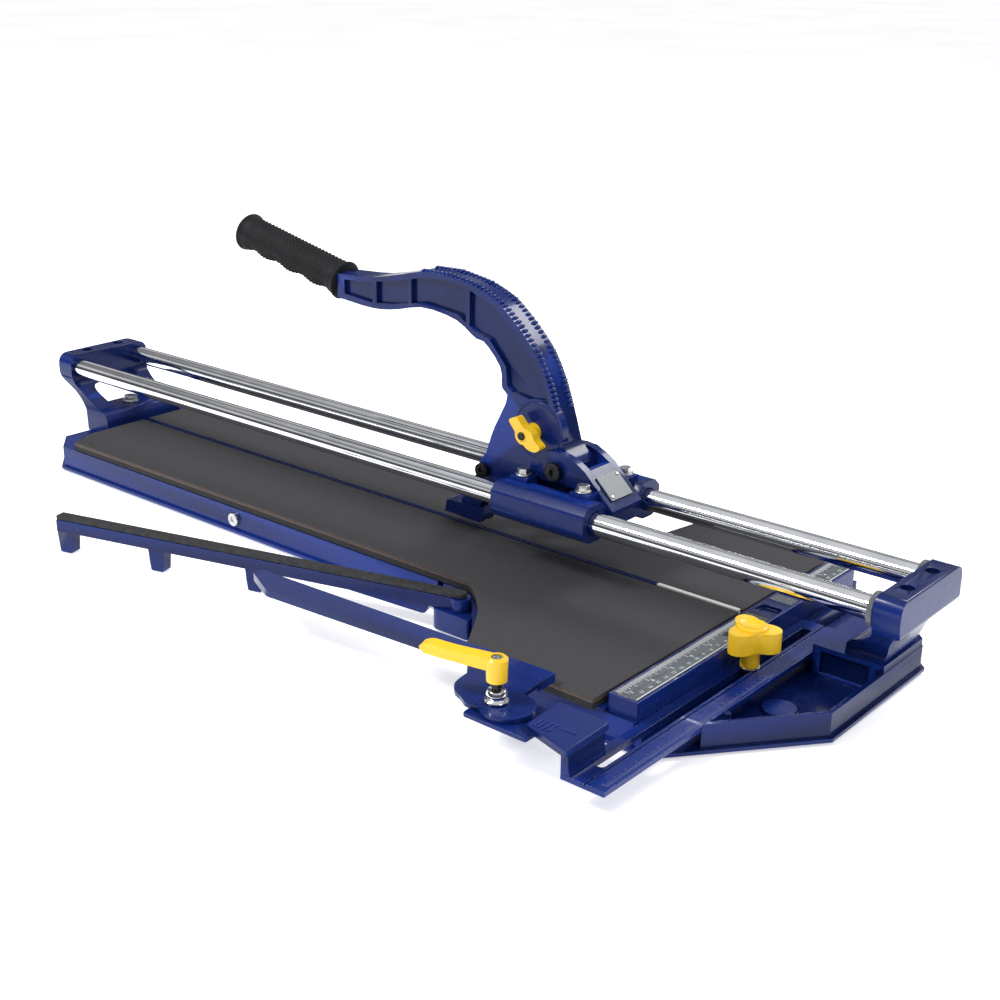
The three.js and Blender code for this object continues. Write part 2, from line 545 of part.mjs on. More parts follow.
function yoke() {
  const pivot = HANDLE_PIVOT;
  const cheek = [
    [SLEEVE_LEFT + 3, yokeSeat + GAP], [SLEEVE_RIGHT - 7, yokeSeat + GAP], [pivot.x + 31, pivot.z + 6],
    [pivot.x + 18, pivot.z + 14, 12], [pivot.x, pivot.z + 18, 14], [pivot.x - 17, pivot.z + 13, 12],
    [pivot.x - 30, pivot.z - 2, 6], [SLEEVE_LEFT + 6, yokeSeat + 4, 3]];
  const cheeks = [side(cheek, -cheekOuter, -cheekInner), side(cheek, cheekInner, cheekOuter)];
  const slope = side([
    [pivot.x + 26, 95], [SLEEVE_RIGHT + 4, 92], [SLEEVE_RIGHT + 5, 96], [pivot.x + 31, pivot.z + 6],
    [pivot.x + 26, pivot.z + 6]], -slopeHalf, slopeHalf);
  const flanges = [];
  for (const x of YOKE_BOLT_X) {
    for (const s of [-1, 1]) {
      const inner = s * (cheekOuter - 2);
      const outer = s * (yokeBoltY + 7);
      const [near, far] = [Math.min(inner, outer), Math.max(inner, outer)];
      flanges.push(block(x - 9, x + 9, near, far, yokeSeat + GAP, yokeSeat + 4));
    }
  }
  const boss = rod('y', 11, cheekOuter - 1, cheekOuter + 13, pivot.x, pivot.z, 28);
  const pinBore = rod('y', PIVOT_PIN_DIAMETER / 2 + GAP, -40, 50, pivot.x, pivot.z, 24);
  const boltHoles = [];
  for (const x of YOKE_BOLT_X) {
    for (const y of [-yokeBoltY, yokeBoltY]) boltHoles.push(rod('z', 2.5 + GAP, 90, 120, x, y, 16));
  }
  const room = rod('y', 26, -cheekInner, cheekInner, pivot.x, pivot.z, 28);
  return cut(join(...cheeks, slope, ...flanges, boss), room, pinBore, ...boltHoles);
}

function squarePlate() {
  const slope = Math.atan2(HANDLE_PIVOT.z + 6 - 96, SLEEVE_RIGHT + 5 - HANDLE_PIVOT.x - 31);
  const middle = { x: (SLEEVE_RIGHT + 5 + HANDLE_PIVOT.x + 31) / 2, z: (HANDLE_PIVOT.z + 6 + 96) / 2 };
  const plate = block(-12, 12, -14.5, 14.5, GAP, GAP + 1.2).rotateY(slope);
  return plate.translate(middle.x, 0, middle.z);
}

function makeCarriage() {
  const carriage = bodyAt(cutter, 0, 0, 0);
  add(carriage, 'carriage_body', 'blue', carriageBody());
  add(carriage, 'handle_yoke', 'blue', yoke());
  for (const [name, y] of [['front', -railY], ['back', railY]]) {
    const tube = rod('x', BUSH_DIAMETER / 2, bushLeft, bushRight, y, RAIL_HEIGHT, 32);
    const bore = rod('x', RAIL_DIAMETER / 2 + GAP, SLEEVE_LEFT - 5, SLEEVE_RIGHT + 5, y, RAIL_HEIGHT, 32);
    add(carriage, `${name}_bush`, 'bronze', cut(tube, bore));
  }
  for (const [name, y] of [['front', -yokeBoltY], ['back', yokeBoltY]]) {
    for (const [place, x] of [['left', YOKE_BOLT_X[0]], ['right', YOKE_BOLT_X[1]]]) {
      const seat = yokeSeat + 4 + GAP;
      const flange = rod('z', 7, seat, seat + 1.4, x, y, 24);
      const head = hexagon(9.5, seat + 1, seat + 6, x, y);
      const shank = rod('z', 2.5, yokeSeat + GAP, seat + 1, x, y, 16);
      add(carriage, `${name}_${place}_yoke_bolt`, 'zinc', join(flange, head, shank));
    }
  }
  add(carriage, 'square_plate', 'ruler', squarePlate());
  const { x, z } = HANDLE_PIVOT;
  const pin = join(
    rod('y', PIVOT_PIN_DIAMETER / 2, -cheekOuter - 2, cheekOuter + 16, x, z, 24),
    rod('y', 8, -cheekOuter - 5.5, -cheekOuter - GAP, x, z, 24));
  const socket = rod('y', 3, -cheekOuter - 8, -cheekOuter - 3, x, z, 6);
  add(carriage, 'handle_pivot_pin', 'blackSteel', cut(pin, socket));
  return carriage;
}

// ---------------------------------------------------------------- handle
const gripAngle = THREE.MathUtils.degToRad(GRIP_TILT);

// A piece modelled along +X from the near end of the grip, laid along the grip's axis.
function alongGrip(geometry) {
  return geometry.rotateY(Math.PI + gripAngle).translate(GRIP_NEAR.x, 0, GRIP_NEAR.z);
}

const outerCurve = [
  [-97, 245], [-55, 248], [-21, 255], [8, 262], [37, 263], [70, 258], [96, 248],
  [118, 231], [138, 210], [151, 187], [160, 163], [168, 138]];
const innerCurve = [
  [84, 113], [92, 136], [107, 167], [101, 176], [99, 193], [82, 211], [70, 214], [48, 226],
  [10, 230.5], [-25, 223], [-54, 220], [-97, 223]];

function smooth(points, steps) {
  const curve = new THREE.SplineCurve(points.map(([x, z]) => new THREE.Vector2(x, z)));
  return curve.getPoints(steps).map((p) => [p.x, p.y]);
}

// The slotted line that the wheel holder follows from the wing knob down to the wheel.
const holderTurn = Math.atan2(WING_KNOB.x - WHEEL_CENTRE.x, WING_KNOB.z - WHEEL_CENTRE.z);
const holderLength = Math.hypot(WING_KNOB.x - WHEEL_CENTRE.x, WING_KNOB.z - WHEEL_CENTRE.z);

function alongHolder(geometry) {
  return geometry.rotateY(holderTurn).translate(WHEEL_CENTRE.x, 0, WHEEL_CENTRE.z);
}

function handleCasting() {
  const half = HANDLE_WIDTH / 2;
  const pivot = HANDLE_PIVOT;
  const lower = [
    [pivot.x + 16, pivot.z + 6], [pivot.x + 16, pivot.z - 8], [pivot.x + 6, pivot.z - 16],
    [pivot.x - 20, pivot.z - 21], [FOOT_PIVOT.x + 8, FOOT_PIVOT.z - 8], [FOOT_PIVOT.x - 5, FOOT_PIVOT.z - 8],
    [FOOT_PIVOT.x - 8, FOOT_PIVOT.z], [FOOT_PIVOT.x - 4, FOOT_PIVOT.z + 9]];
  const whole = side([...smooth(outerCurve, 30), ...lower, ...smooth(innerCurve, 30)].reverse(), -half, half);
  const pocket = [
    [-88, 241], [-55, 243.5], [-20, 250], [10, 257], [36, 258], [66, 253.5], [92, 243.5],
    [113, 227], [133, 206], [146, 184], [153, 168], [113, 174], [107, 178], [105, 195], [86, 215.5],
    [72, 218.5], [50, 231], [10, 235], [-26, 228], [-54, 225], [-88, 228]].reverse();
  const pockets = cut(
    join(side(pocket, -half - 1, -half + POCKET_DEPTH), side(pocket, half - POCKET_DEPTH, half + 1)),
    block(-52, -47, -20, 20, 200, 270), block(-8, -4, -20, 20, 200, 270), block(60, 64, -20, 20, 200, 270));
  const hub = rod('y', 27, -half + 0.1, -half + 8, WING_KNOB.x + 4, WING_KNOB.z + 2, 32);
  const barrel = rod('y', 16.5, -half, half, pivot.x, pivot.z, 32);
  const tang = alongGrip(rod('x', TANG_DIAMETER / 2, -4, GRIP_LENGTH - 14, 0, 0, 24));
  const footSlot = block(60, 116, -6.3, 6.3, 70, 113);
  const holderSlot = alongHolder(block(-9, 9, -6.3, 6.3, 10, holderLength + 12));
  const pinBore = rod('y', PIVOT_PIN_DIAMETER / 2 + RUNNING_GAP, -30, 30, pivot.x, pivot.z, 24);
  const screwBore = rod('y', 3 + GAP, -30, 30, WING_KNOB.x, WING_KNOB.z, 16);
  const footBore = rod('y', FOOT_PIN_DIAMETER / 2 + GAP, -30, 30, FOOT_PIVOT.x, FOOT_PIVOT.z, 20);
  return cut(join(cut(whole, pockets), hub, barrel, tang), footSlot, holderSlot, pinBore, screwBore, footBore);
}

function grip() {
  const r = GRIP_DIAMETER / 2;
  const bore = TANG_DIAMETER / 2 + GAP;
  const profile = [
    [bore, 0], [r + 2, 0], [r + 2, 4], [r, 7], [r, GRIP_LENGTH - 7], [r + 2, GRIP_LENGTH - 4],
    [r + 1, GRIP_LENGTH], [0, GRIP_LENGTH], [0, GRIP_LENGTH - 12], [bore, GRIP_LENGTH - 12], [bore, 0]];
  const sleeve = new THREE.LatheGeometry(profile.map(([a, b]) => new THREE.Vector2(a, b)), 28);
  return alongGrip(sleeve.rotateZ(-Math.PI / 2));
}

function wheelHolder() {
  const bar = alongHolder(block(-8, 8, -5.8, 5.8, -6, holderLength + 10));
  const fork = alongHolder(block(-20, 20, -WHEEL_WIDTH / 2 - GAP, WHEEL_WIDTH / 2 + GAP, -20, WHEEL_DIAMETER / 2 + 2));
  const axleBore = rod('y', AXLE_DIAMETER / 2 + GAP, -20, 20, WHEEL_CENTRE.x, WHEEL_CENTRE.z, 20);
  const screwBore = rod('y', 3 + GAP, -20, 20, WING_KNOB.x, WING_KNOB.z, 16);
  return cut(bar, fork, axleBore, screwBore);
}

function scoringWheel() {
  const r = WHEEL_DIAMETER / 2;
  const half = WHEEL_WIDTH / 2;
  const bore = AXLE_DIAMETER / 2 + GAP;
  const profile = [[bore, -half], [r - 4, -half], [r, 0], [r - 4, half], [bore, half], [bore, -half]];
  const disc = new THREE.LatheGeometry(profile.map(([a, b]) => new THREE.Vector2(a, b)), 40);
  return disc.translate(WHEEL_CENTRE.x, 0, WHEEL_CENTRE.z);
}

function breakerFoot() {
  const { x, z } = FOOT_PIVOT;
  const web = side([
    [x - 8, z], [x - 5, z + 7, 4], [x + 5, z + 7, 4], [x + 8, z, 4], [x + 4, z - 12, 6], [x - 12, SHOE_BOTTOM + 12],
    [x - 34, SHOE_BOTTOM + 12], [x - 22, z - 18, 8]].reverse(), -5.8, 5.8);
  const shoe = side([
    [x - 50, SHOE_BOTTOM + 1], [x - 8, SHOE_BOTTOM], [x - 4, SHOE_BOTTOM + 8], [x - 8, SHOE_BOTTOM + 14],
    [x - 48, SHOE_BOTTOM + 13, 2]], -9, 9);
  const relief = end([[-5, SHOE_BOTTOM - 3], [5, SHOE_BOTTOM - 3], [0, SHOE_BOTTOM + 3]], x - 60, x + 10);
  const bore = rod('y', FOOT_PIN_DIAMETER / 2 + RUNNING_GAP, -20, 20, x, z, 20);
  return cut(join(web, shoe), relief, bore);
}

function makeHandle(carriage) {
  const handle = bodyAt(carriage, 0, 0, 0);
  const half = HANDLE_WIDTH / 2;
  add(handle, 'handle_casting', 'blue', handleCasting());
  add(handle, 'handle_grip', 'grip', grip());
  add(handle, 'wheel_holder', 'zinc', wheelHolder());
  const axle = rod('y', AXLE_DIAMETER / 2, -5.7, 5.7, WHEEL_CENTRE.x, WHEEL_CENTRE.z, 20);
  add(handle, 'wheel_axle', 'blackSteel', axle);
  add(handle, 'scoring_wheel', 'carbide', scoringWheel());
  const footPin = join(
    rod('y', FOOT_PIN_DIAMETER / 2, -half - 2, half + 2, FOOT_PIVOT.x, FOOT_PIVOT.z, 20),
    rod('y', 6.8, -half - 5, -half - GAP, FOOT_PIVOT.x, FOOT_PIVOT.z, 20));
  add(handle, 'breaker_foot_pin', 'blackSteel', cut(footPin,
    rod('y', 2.5, -half - 8, -half - 3, FOOT_PIVOT.x, FOOT_PIVOT.z, 6)));
  add(handle, 'breaker_foot', 'blue', breakerFoot());
  const { x, z } = WING_KNOB;
  const face = -half - GAP;
  const bladeBack = -cheekOuter - 0.7;
  const bladeFront = bladeBack - 8.2;
  const wingOutline = [
    [-18, 14, 4], [-7, 19, 3], [2, 9, 4], [13, 6, 5], [16, -2, 4], [25, -8, 4], [18, -14, 4], [8, -13, 3],
    [-2, -6, 4], [-8, 2, 3]];
  const size = WING_KNOB_SPAN / 52.4;
  const wing = side(
    wingOutline.map(([u, v, r]) => [x + u * size, z + v * size, r * size]).reverse(), bladeFront, bladeBack);
  const knobHub = rod('y', 8, bladeFront + 1, face, x, z, 24);
  const screw = rod('y', 3, bladeFront - 0.6, half - 2, x, z, 16);
  add(handle, 'wing_knob', 'yellow', join(wing, knobHub, screw));
}

// ---------------------------------------------------------------- side guide
function slideBar() {
  const barBack = BAR_FRONT + BAR_LENGTH;
  const section = side([
    [barLeft, barBottom], [barRight, barBottom], [barRight, BAR_TOP], [slotRight + 4.5, BAR_TOP],
    [slotRight + 4, BAR_TOP - 1.2], [slotRight + 3.2, BAR_TOP - 1.2], [slotRight + 2.7, BAR_TOP],
    [barLeft, BAR_TOP]], BAR_FRONT, barBack);
  const half = BAR_SLOT / 2;
  const slotFront = BAR_FRONT + BAR_SLOT_MARGINS[0];
  const slotBack = barBack - BAR_SLOT_MARGINS[1];
  const slot = plan([
    [slotCentre - half, slotFront, half], [slotCentre + half, slotFront, half],
    [slotCentre + half, slotBack, half], [slotCentre - half, slotBack, half]], 0, 30);
  return cut(section, slot);
}

function protractorBracket() {
  const plateTop = FENCE_TOP + 0.6 + BRACKET_PLATE;
  const backEdge = PIVOT.y + 27;
  const plateLeft = fenceLeft - 11;
  const plateRight = barLeft + 7;
  const top = plan([
    [plateLeft, backEdge, 2], [plateLeft + 3, BAR_FRONT + 6, 2], [plateRight + 1, BAR_FRONT - 5.5, 2],
    [plateRight, backEdge, 2]], FENCE_TOP + 0.6, plateTop);
  const riser = side([
    [barLeft, BAR_TOP + GAP], [slotLeft - 1, BAR_TOP + GAP], [barLeft + 6.5, BAR_TOP + 5, 3],
    [barLeft + 6, plateTop - 1], [barLeft, plateTop - 1]], BAR_FRONT, backEdge - 4);
  const lower = plan([
    [PIVOT.x - 12, PIVOT.y - 22, 2], [fenceLeft - 0.8, PIVOT.y - 22, 2], [fenceLeft - 0.8, PIVOT.y + 20],
    [PIVOT.x, PIVOT.y + 20, 12], [PIVOT.x - 15, PIVOT.y + 6, 8]], lowerPlateBottom, lowerPlateTop);
  const bore = rod('z', SPINDLE_DIAMETER / 2 + GAP, 20, 60, PIVOT.x, PIVOT.y, 24);
  return cut(join(top, riser, lower), bore);
}

function stopArm() {
  const near = 60; // distance from the pivot to the arm's guiding edge
  const arm = plan([
    [-STOP_ARM_LENGTH, near, 3], [-STOP_ARM_LENGTH - 3, near - 9, 3], [-STOP_ARM_LENGTH + 29, near - 26, 3],
    [-42, near - 20], [-20, near - 22], [7, near - 22], [7, near]], padTop + 1.3, discTop);
  const web = plan([
    [-44, near - 18], [-42, 12, 4], [-40, 3, 3], [-33, -6, 4], [-25, -9, 3], [-16, -15, 3], [0, -14], [20, 12],
    [8, near - 40], [7, near - 18]], discBottom, discTop);
  const collar = rod('z', 14, discBottom, discTop, 0, 0, 32);
  const disc = rod('z', DISC_RADIUS, discBottom, discTop, 9.5, 0, 40);
  const bore = rod('z', SPINDLE_DIAMETER / 2 + RUNNING_GAP, 0, 80, 0, 0, 24);
  return cut(join(disc, collar, web, arm), bore);
}

function clampLever() {
  const hub = LEVER_HUB_DIAMETER / 2;
  const bottom = discTop + 16.2;
  const top = bottom + 18;
  const head = turned([[0, bottom], [hub, bottom], [hub + 0.6, top - 1.5], [hub - 1, top], [0, top]], 0, 0, 28);
  const arm = side([
    [0, top - 10], [LEVER_LENGTH - 20, top - 7, 8], [LEVER_LENGTH - 3, top - 5, 3], [LEVER_LENGTH, top, 3],
    [LEVER_LENGTH - 8, top + 3, 3], [LEVER_LENGTH - 24, top + 1, 8], [0, top - 0.3]], -5, 5);
  const bore = rod('z', SPINDLE_DIAMETER / 2 + GAP, bottom - 5, bottom + 9, 0, 0, 24);
  const screwSeat = rod('z', 4.4, top - 4, top + 5, 0, 0, 20);
  return cut(join(head, arm), bore, screwSeat);
}

function starKnob() {
  const stemBottom = BAR_TOP + 2.1;
  const headBottom = FENCE_TOP + 1;
  const headTop = headBottom + 19;
  const lobes = new THREE.Shape();
  const steps = 60;
  for (let i = 0; i <= steps; i += 1) {
    const angle = (i / steps) * 2 * Math.PI;
    const radius = STAR_HEAD_RADIUS * (0.77 + 0.23 * Math.cos(3 * angle));
    if (i === 0) lobes.moveTo(radius, 0);
    else if (i < steps) lobes.lineTo(radius * Math.cos(angle), radius * Math.sin(angle));
  }
  const head = plan(lobes, headBottom, headTop - 2.5);
  const crown = turned([
    [0, headBottom + 6], [13, headBottom + 6], [12, headTop - 1], [10, headTop], [8, headTop - 1], [0, headTop - 1.4]],
    0, 0, 28);
  const stem = rod('z', STAR_STEM_DIAMETER / 2, stemBottom, headBottom + 1, 0, 0, 28);
  return cut(join(head, crown, stem), rod('z', STUD_DIAMETER / 2 + GAP, 0, headBottom + 8, 0, 0, 20));
}

function makeGuide() {
  const guide = bodyAt(cutter, 0, 0, 0);
  add(guide, 'slide_bar', 'blue', slideBar());
  add(guide, 'protractor_bracket', 'blue', protractorBracket());
  const arm = bodyAt(guide, PIVOT.x, PIVOT.y, 0, STOP_ARM_TILT);
  add(arm, 'stop_arm', 'blue', stopArm());
  const spindle = rod('z', SPINDLE_DIAMETER / 2, lowerPlateBottom + 0.2, discTop + 24, PIVOT.x, PIVOT.y, 24);
  add(guide, 'clamp_spindle', 'blackSteel', spindle);
  const seat = discTop + GAP;
  const flangeWasher = turned([
    [0, seat], [8.5, seat], [9, seat + 1.5], [6.5, seat + 3], [8, seat + 6], [6.5, seat + 9], [0, seat + 9.5]],
    PIVOT.x, PIVOT.y);
  const washerBore = rod('z', SPINDLE_DIAMETER / 2 + GAP, 0, 90, PIVOT.x, PIVOT.y, 24);
  add(guide, 'flange_washer', 'chrome', cut(flangeWasher, washerBore));
  const lever = bodyAt(guide, PIVOT.x, PIVOT.y, 0, LEVER_ANGLE);
  add(lever, 'clamp_lever', 'yellow', clampLever());
  const leverTop = discTop + 34.2;
  add(lever, 'clamp_lever_screw', 'zinc', cut(
    rod('z', 4, leverTop - 3.7, leverTop - 0.4, 0, 0, 20), hexagon(3.6, leverTop - 2, leverTop + 2, 0, 0)));
}

function makeStarKnob() {
  const stud = rod('z', STUD_DIAMETER / 2, FOOT_HEIGHT + 0.3, BAR_TOP + 22, slotCentre, KNOB_Y, 24);
  add(cutter, 'star_knob_stud', 'blackSteel', stud);
  const washer = rod('z', 8, BAR_TOP + GAP, BAR_TOP + 1.8, slotCentre, KNOB_Y, 24);
  const bore = rod('z', STUD_DIAMETER / 2 + GAP, 0, 60, slotCentre, KNOB_Y, 24);
  add(cutter, 'star_knob_washer', 'zinc', cut(washer, bore));
  const knob = bodyAt(cutter, slotCentre, KNOB_Y, 0, 20);
  add(knob, 'star_knob', 'yellow', starKnob());
}

// ---------------------------------------------------------------- support arm
function supportArmCasting() {
  const half = SUPPORT_ARM_WIDTH / 2;
  const knuckleBottom = 20.4;
  const beamBottom = supportTop - 11;
  const knuckle = rod('z', 8.5, knuckleBottom, supportTop, 0, 0, 28);
  const beam = block(6, SUPPORT_ARM_LENGTH, -half, half, beamBottom, supportTop);
  const gusset = side([
    [30, beamBottom - 8, 4], [120, beamBottom + 2], [120, supportTop - 2], [4, supportTop - 2], [4, knuckleBottom],
    [26, knuckleBottom]], -half, half);
  const feet = [SUPPORT_ARM_LENGTH - 9, SUPPORT_ARM_LENGTH - 110, SUPPORT_ARM_LENGTH - 212].map((s) =>
    side([[s - 9, beamBottom + 3], [s - 6.5, 0.3, 1.5], [s + 6.5, 0.3, 1.5], [s + 9, beamBottom + 3]], -half, half));
  const bore = rod('z', HINGE_PIN_DIAMETER / 2 + RUNNING_GAP, 0, 60, 0, 0, 24);
  return cut(join(knuckle, beam, gusset, ...feet), bore);
}

function makeSupportArm() {
  const arm = bodyAt(cutter, HINGE.x, HINGE.y, 0, SUPPORT_ARM_ANGLE);
  const half = SUPPORT_ARM_WIDTH / 2 - 0.4;
  add(arm, 'support_arm', 'blue', supportArmCasting());
  const pad = plan([[-5.1, -half, 5], [SUPPORT_ARM_LENGTH, -half], [SUPPORT_ARM_LENGTH, half], [-5.1, half, 5]],
    supportTop + GAP, supportPadTop);
  add(arm, 'support_arm_pad', 'rubber', pad);
  const pin = rod('z', HINGE_PIN_DIAMETER / 2, FOOT_HEIGHT + 3.5, supportTop - GAP, HINGE.x, HINGE.y, 24);
  add(cutter, 'support_arm_pin', 'zinc', pin);
}

// ---------------------------------------------------------------- the whole cutter
makeBase();
makePads();
makeFence();
makeTowersAndRails();
makeHandle(makeCarriage());
makeGuide();
makeStarKnob();
makeSupportArm();

export default cutter;
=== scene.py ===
"""Finished look of a manual tile cutter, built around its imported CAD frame."""
import json
import math

import bpy
from mathutils import Matrix, Vector


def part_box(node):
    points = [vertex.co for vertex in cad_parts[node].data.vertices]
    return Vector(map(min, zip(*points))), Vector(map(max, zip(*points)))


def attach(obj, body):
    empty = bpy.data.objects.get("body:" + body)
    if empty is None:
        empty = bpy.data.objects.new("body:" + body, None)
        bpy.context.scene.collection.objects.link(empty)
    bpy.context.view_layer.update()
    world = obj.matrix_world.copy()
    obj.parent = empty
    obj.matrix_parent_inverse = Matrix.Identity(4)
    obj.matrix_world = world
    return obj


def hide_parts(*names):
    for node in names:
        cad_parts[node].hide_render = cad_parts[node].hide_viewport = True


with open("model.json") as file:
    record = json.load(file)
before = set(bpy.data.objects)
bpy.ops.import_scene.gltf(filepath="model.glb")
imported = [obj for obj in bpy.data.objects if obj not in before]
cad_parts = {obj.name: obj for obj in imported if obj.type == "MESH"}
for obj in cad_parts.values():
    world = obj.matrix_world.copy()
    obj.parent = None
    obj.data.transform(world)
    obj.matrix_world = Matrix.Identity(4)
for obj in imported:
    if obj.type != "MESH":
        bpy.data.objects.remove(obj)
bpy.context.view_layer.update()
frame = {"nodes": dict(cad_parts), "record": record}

bl_info = {
    "name": "Tile Cutter",
    "version": (1, 0, 0),
    "blender": (4, 5, 0),
    "location": "3D View > Sidebar > Tile Cutter",
    "description": "Finishes a manual tile cutter piece by piece",
    "category": "Object",
}

MM = 0.001
INCH = 25.4 * MM
BODY_OF = {node: body for body, nodes in frame["record"]["behaviour"]["bodies"].items() for node in nodes}
SLOT_OF = {row["node"]: row["material_slot"] for row in frame["record"]["subparts"]}
JOINT_ROWS = frame["record"]["behaviour"]["joints"]
JOINT_PLACE = {row["name"]: Vector(row["pos_m"]) for row in JOINT_ROWS if "pos_m" in row}

# Places and proportions of the finer features, in the frame's axes.
BOARD_LAYER_LEVELS = (31.9 * MM, 32.1 * MM)
# Height of the painted highlight line on the boards' edges.
BOARD_HIGHLIGHT_LEVEL = 32.2 * MM
INK_HEIGHT = 0.12 * MM
RULER_MARK_LENGTHS = [4 * MM, 5 * MM, 6.2 * MM, 7.5 * MM, 9 * MM]
BAR_MARK_LENGTHS = [2 * MM, 3 * MM, 4 * MM, 5 * MM]
SQUARE_INCH = 2  # the front ruler has a dark square in place of this figure
HANDLE_BACK = (  # x and z in mm along the handle's outer curve
    (8, 262), (37, 263), (70, 258), (96, 248), (118, 231), (138, 210), (151, 187), (160, 163))
TREAD_PITCH = 4.6 * MM
TREAD_BEAD = (1.9 * MM, 4.4 * MM, 2.2 * MM)
HUB_CENTRE = (141 * MM, 146 * MM)
BRACKET_BAR_START = 342 * MM
BRACKET_BAR_PITCH = 4 * MM
BRACKET_BAR_WIDTH = 1.9 * MM
BRACKET_BAR_ENDS = (-267 * MM, -255 * MM)
BRACKET_POINTER = (366 * MM, -255 * MM)
TRAY_PEG = (412.5 * MM, -133 * MM)
TRAY_PEG_LEVELS = (4.6 * MM, 24 * MM)
LEFT_TOWER_LINE_LEVELS = (79 * MM, 80 * MM)
RIGHT_TOWER_LINE_LEVELS = (80.5 * MM, 82 * MM)
GRIP_TILT = math.radians(12.35)

# The studio.
CAMERA_PLACE = (0.8923, -0.9643, 0.5372)
SURROUND_BANDS = ((0.0, 0.12), (0.12, 0.06), (0.3, 0.15), (0.42, 0.8), (0.58, 0.15), (0.8, 0.7))
LAMPS = (
    ("Key", (-1.2, -1.8, 2.6), 0.9, 72),
    ("Fill", (2.4, -0.6, 1.6), 0.8, 14),
    ("Back", (0.6, 2.4, 2.2), 1.2, 46),
)


# ------------------------------------------------------------------ sizes and colours a user may change
def hex_colour(code):
    """Linear RGB of an sRGB hex code."""
    channels = [int(code[i:i + 2], 16) / 255 for i in (0, 2, 4)]
    return tuple(c / 12.92 if c <= 0.04045 else ((c + 0.055) / 1.055) ** 2.4 for c in channels)


def colour_property(name, description, code):
    return bpy.props.FloatVectorProperty(
        name=name, description=description, subtype="COLOR", size=3, min=0, max=1, default=hex_colour(code))


def length_property(name, description, millimetres):
    return bpy.props.FloatProperty(
        name=name, description=description, subtype="DISTANCE", unit="LENGTH", min=0,
        default=millimetres * MM)


class CutterColours(bpy.types.PropertyGroup):
    """Colours of the cutter's finishes."""

    enamel: colour_property("Enamel", "Navy stove enamel on the castings", "081a4e")
    pad: colour_property("Pad", "Rubber of the boards that carry the tile", "3a393c")
    pad_core: colour_property("Pad core", "Brownish upper layer seen on the boards' edges", "4d423c")
    plastic: colour_property("Knobs", "Moulded plastic of the knobs and the clamp lever", "f9c914")
    handle_rubber: colour_property("Grip", "Moulded rubber of the grip", "0e0f12")
    ink: colour_property("Scale marks", "Divisions and figures on the scales", "dfe3e6")


class CutterSizes(bpy.types.PropertyGroup):
    """Sizes of the cutter's finer features."""

    casting_edge: length_property("Casting edge", "Rounding on the castings' edges", 0.9)
    machined_edge: length_property("Machined edge", "Rounding on screws, plates and bars", 0.35)
    moulded_edge: length_property("Moulded edge", "Rounding on the plastic knobs", 1.6)
    mark_width: length_property("Mark width", "Width of one division line", 0.45)
    knob_pitch: length_property("Grip pimple pitch", "Distance between pimples on the grip", 4.6)


# ------------------------------------------------------------------ materials
def add_node(tree, kind, inputs=None, **settings):
    """Adds a node with its settings, its values and its links."""
    node = tree.nodes.new(kind)
    for name, value in settings.items():
        setattr(node, name, value)
    for socket, value in (inputs or {}).items():
        if isinstance(value, bpy.types.NodeSocket):
            tree.links.new(value, node.inputs[socket])
        else:
            node.inputs[socket].default_value = value
    return node


def start_material(name, **shader_values):
    material = bpy.data.materials.new(name)
    material.use_nodes = True
    tree = material.node_tree
    shader = tree.nodes["Principled BSDF"]
    for socket, value in shader_values.items():
        shader.inputs[socket.replace("_", " ")].default_value = value
    place = add_node(tree, "ShaderNodeTexCoord").outputs["Object"]
    return material, tree, shader, place


def noise(tree, place, size, detail=2.0, stretch=(1, 1, 1)):
    """Noise whose features are about size metres across, drawn out by stretch."""
    mapped = add_node(tree, "ShaderNodeMapping", {"Vector": place, "Scale": tuple(1 / s for s in stretch)})
    inputs = {"Vector": mapped.outputs[0], "Scale": 1 / size, "Detail": detail}
    return add_node(tree, "ShaderNodeTexNoise", inputs).outputs["Fac"]


def ramp_between(tree, factor, low, high, start=0.35, end=0.65):
    ramp = add_node(tree, "ShaderNodeValToRGB", {"Fac": factor})
    ramp.color_ramp.elements[0].position = start
    ramp.color_ramp.elements[1].position = end
    ramp.color_ramp.elements[0].color = (*low, 1)
    ramp.color_ramp.elements[1].color = (*high, 1)
    return ramp.outputs["Color"]


def spread(tree, factor, low, high):
    inputs = {"Value": factor, "To Min": low, "To Max": high}
    return add_node(tree, "ShaderNodeMapRange", inputs).outputs["Result"]


def shade(colour, factor):
    return tuple(min(1, c * factor) for c in colour[:3])


def bump(tree, shader, height, depth, strength=1.0, under=None):
    inputs = {"Height": height, "Distance": depth, "Strength": strength}
    if under:
        inputs["Normal"] = under
    normal = add_node(tree, "ShaderNodeBump", inputs).outputs["Normal"]
    tree.links.new(normal, shader.inputs["Normal"])
    return normal


def colours():
    return bpy.context.scene.tile_cutter_colours


def sizes():
    return bpy.context.scene.tile_cutter_sizes


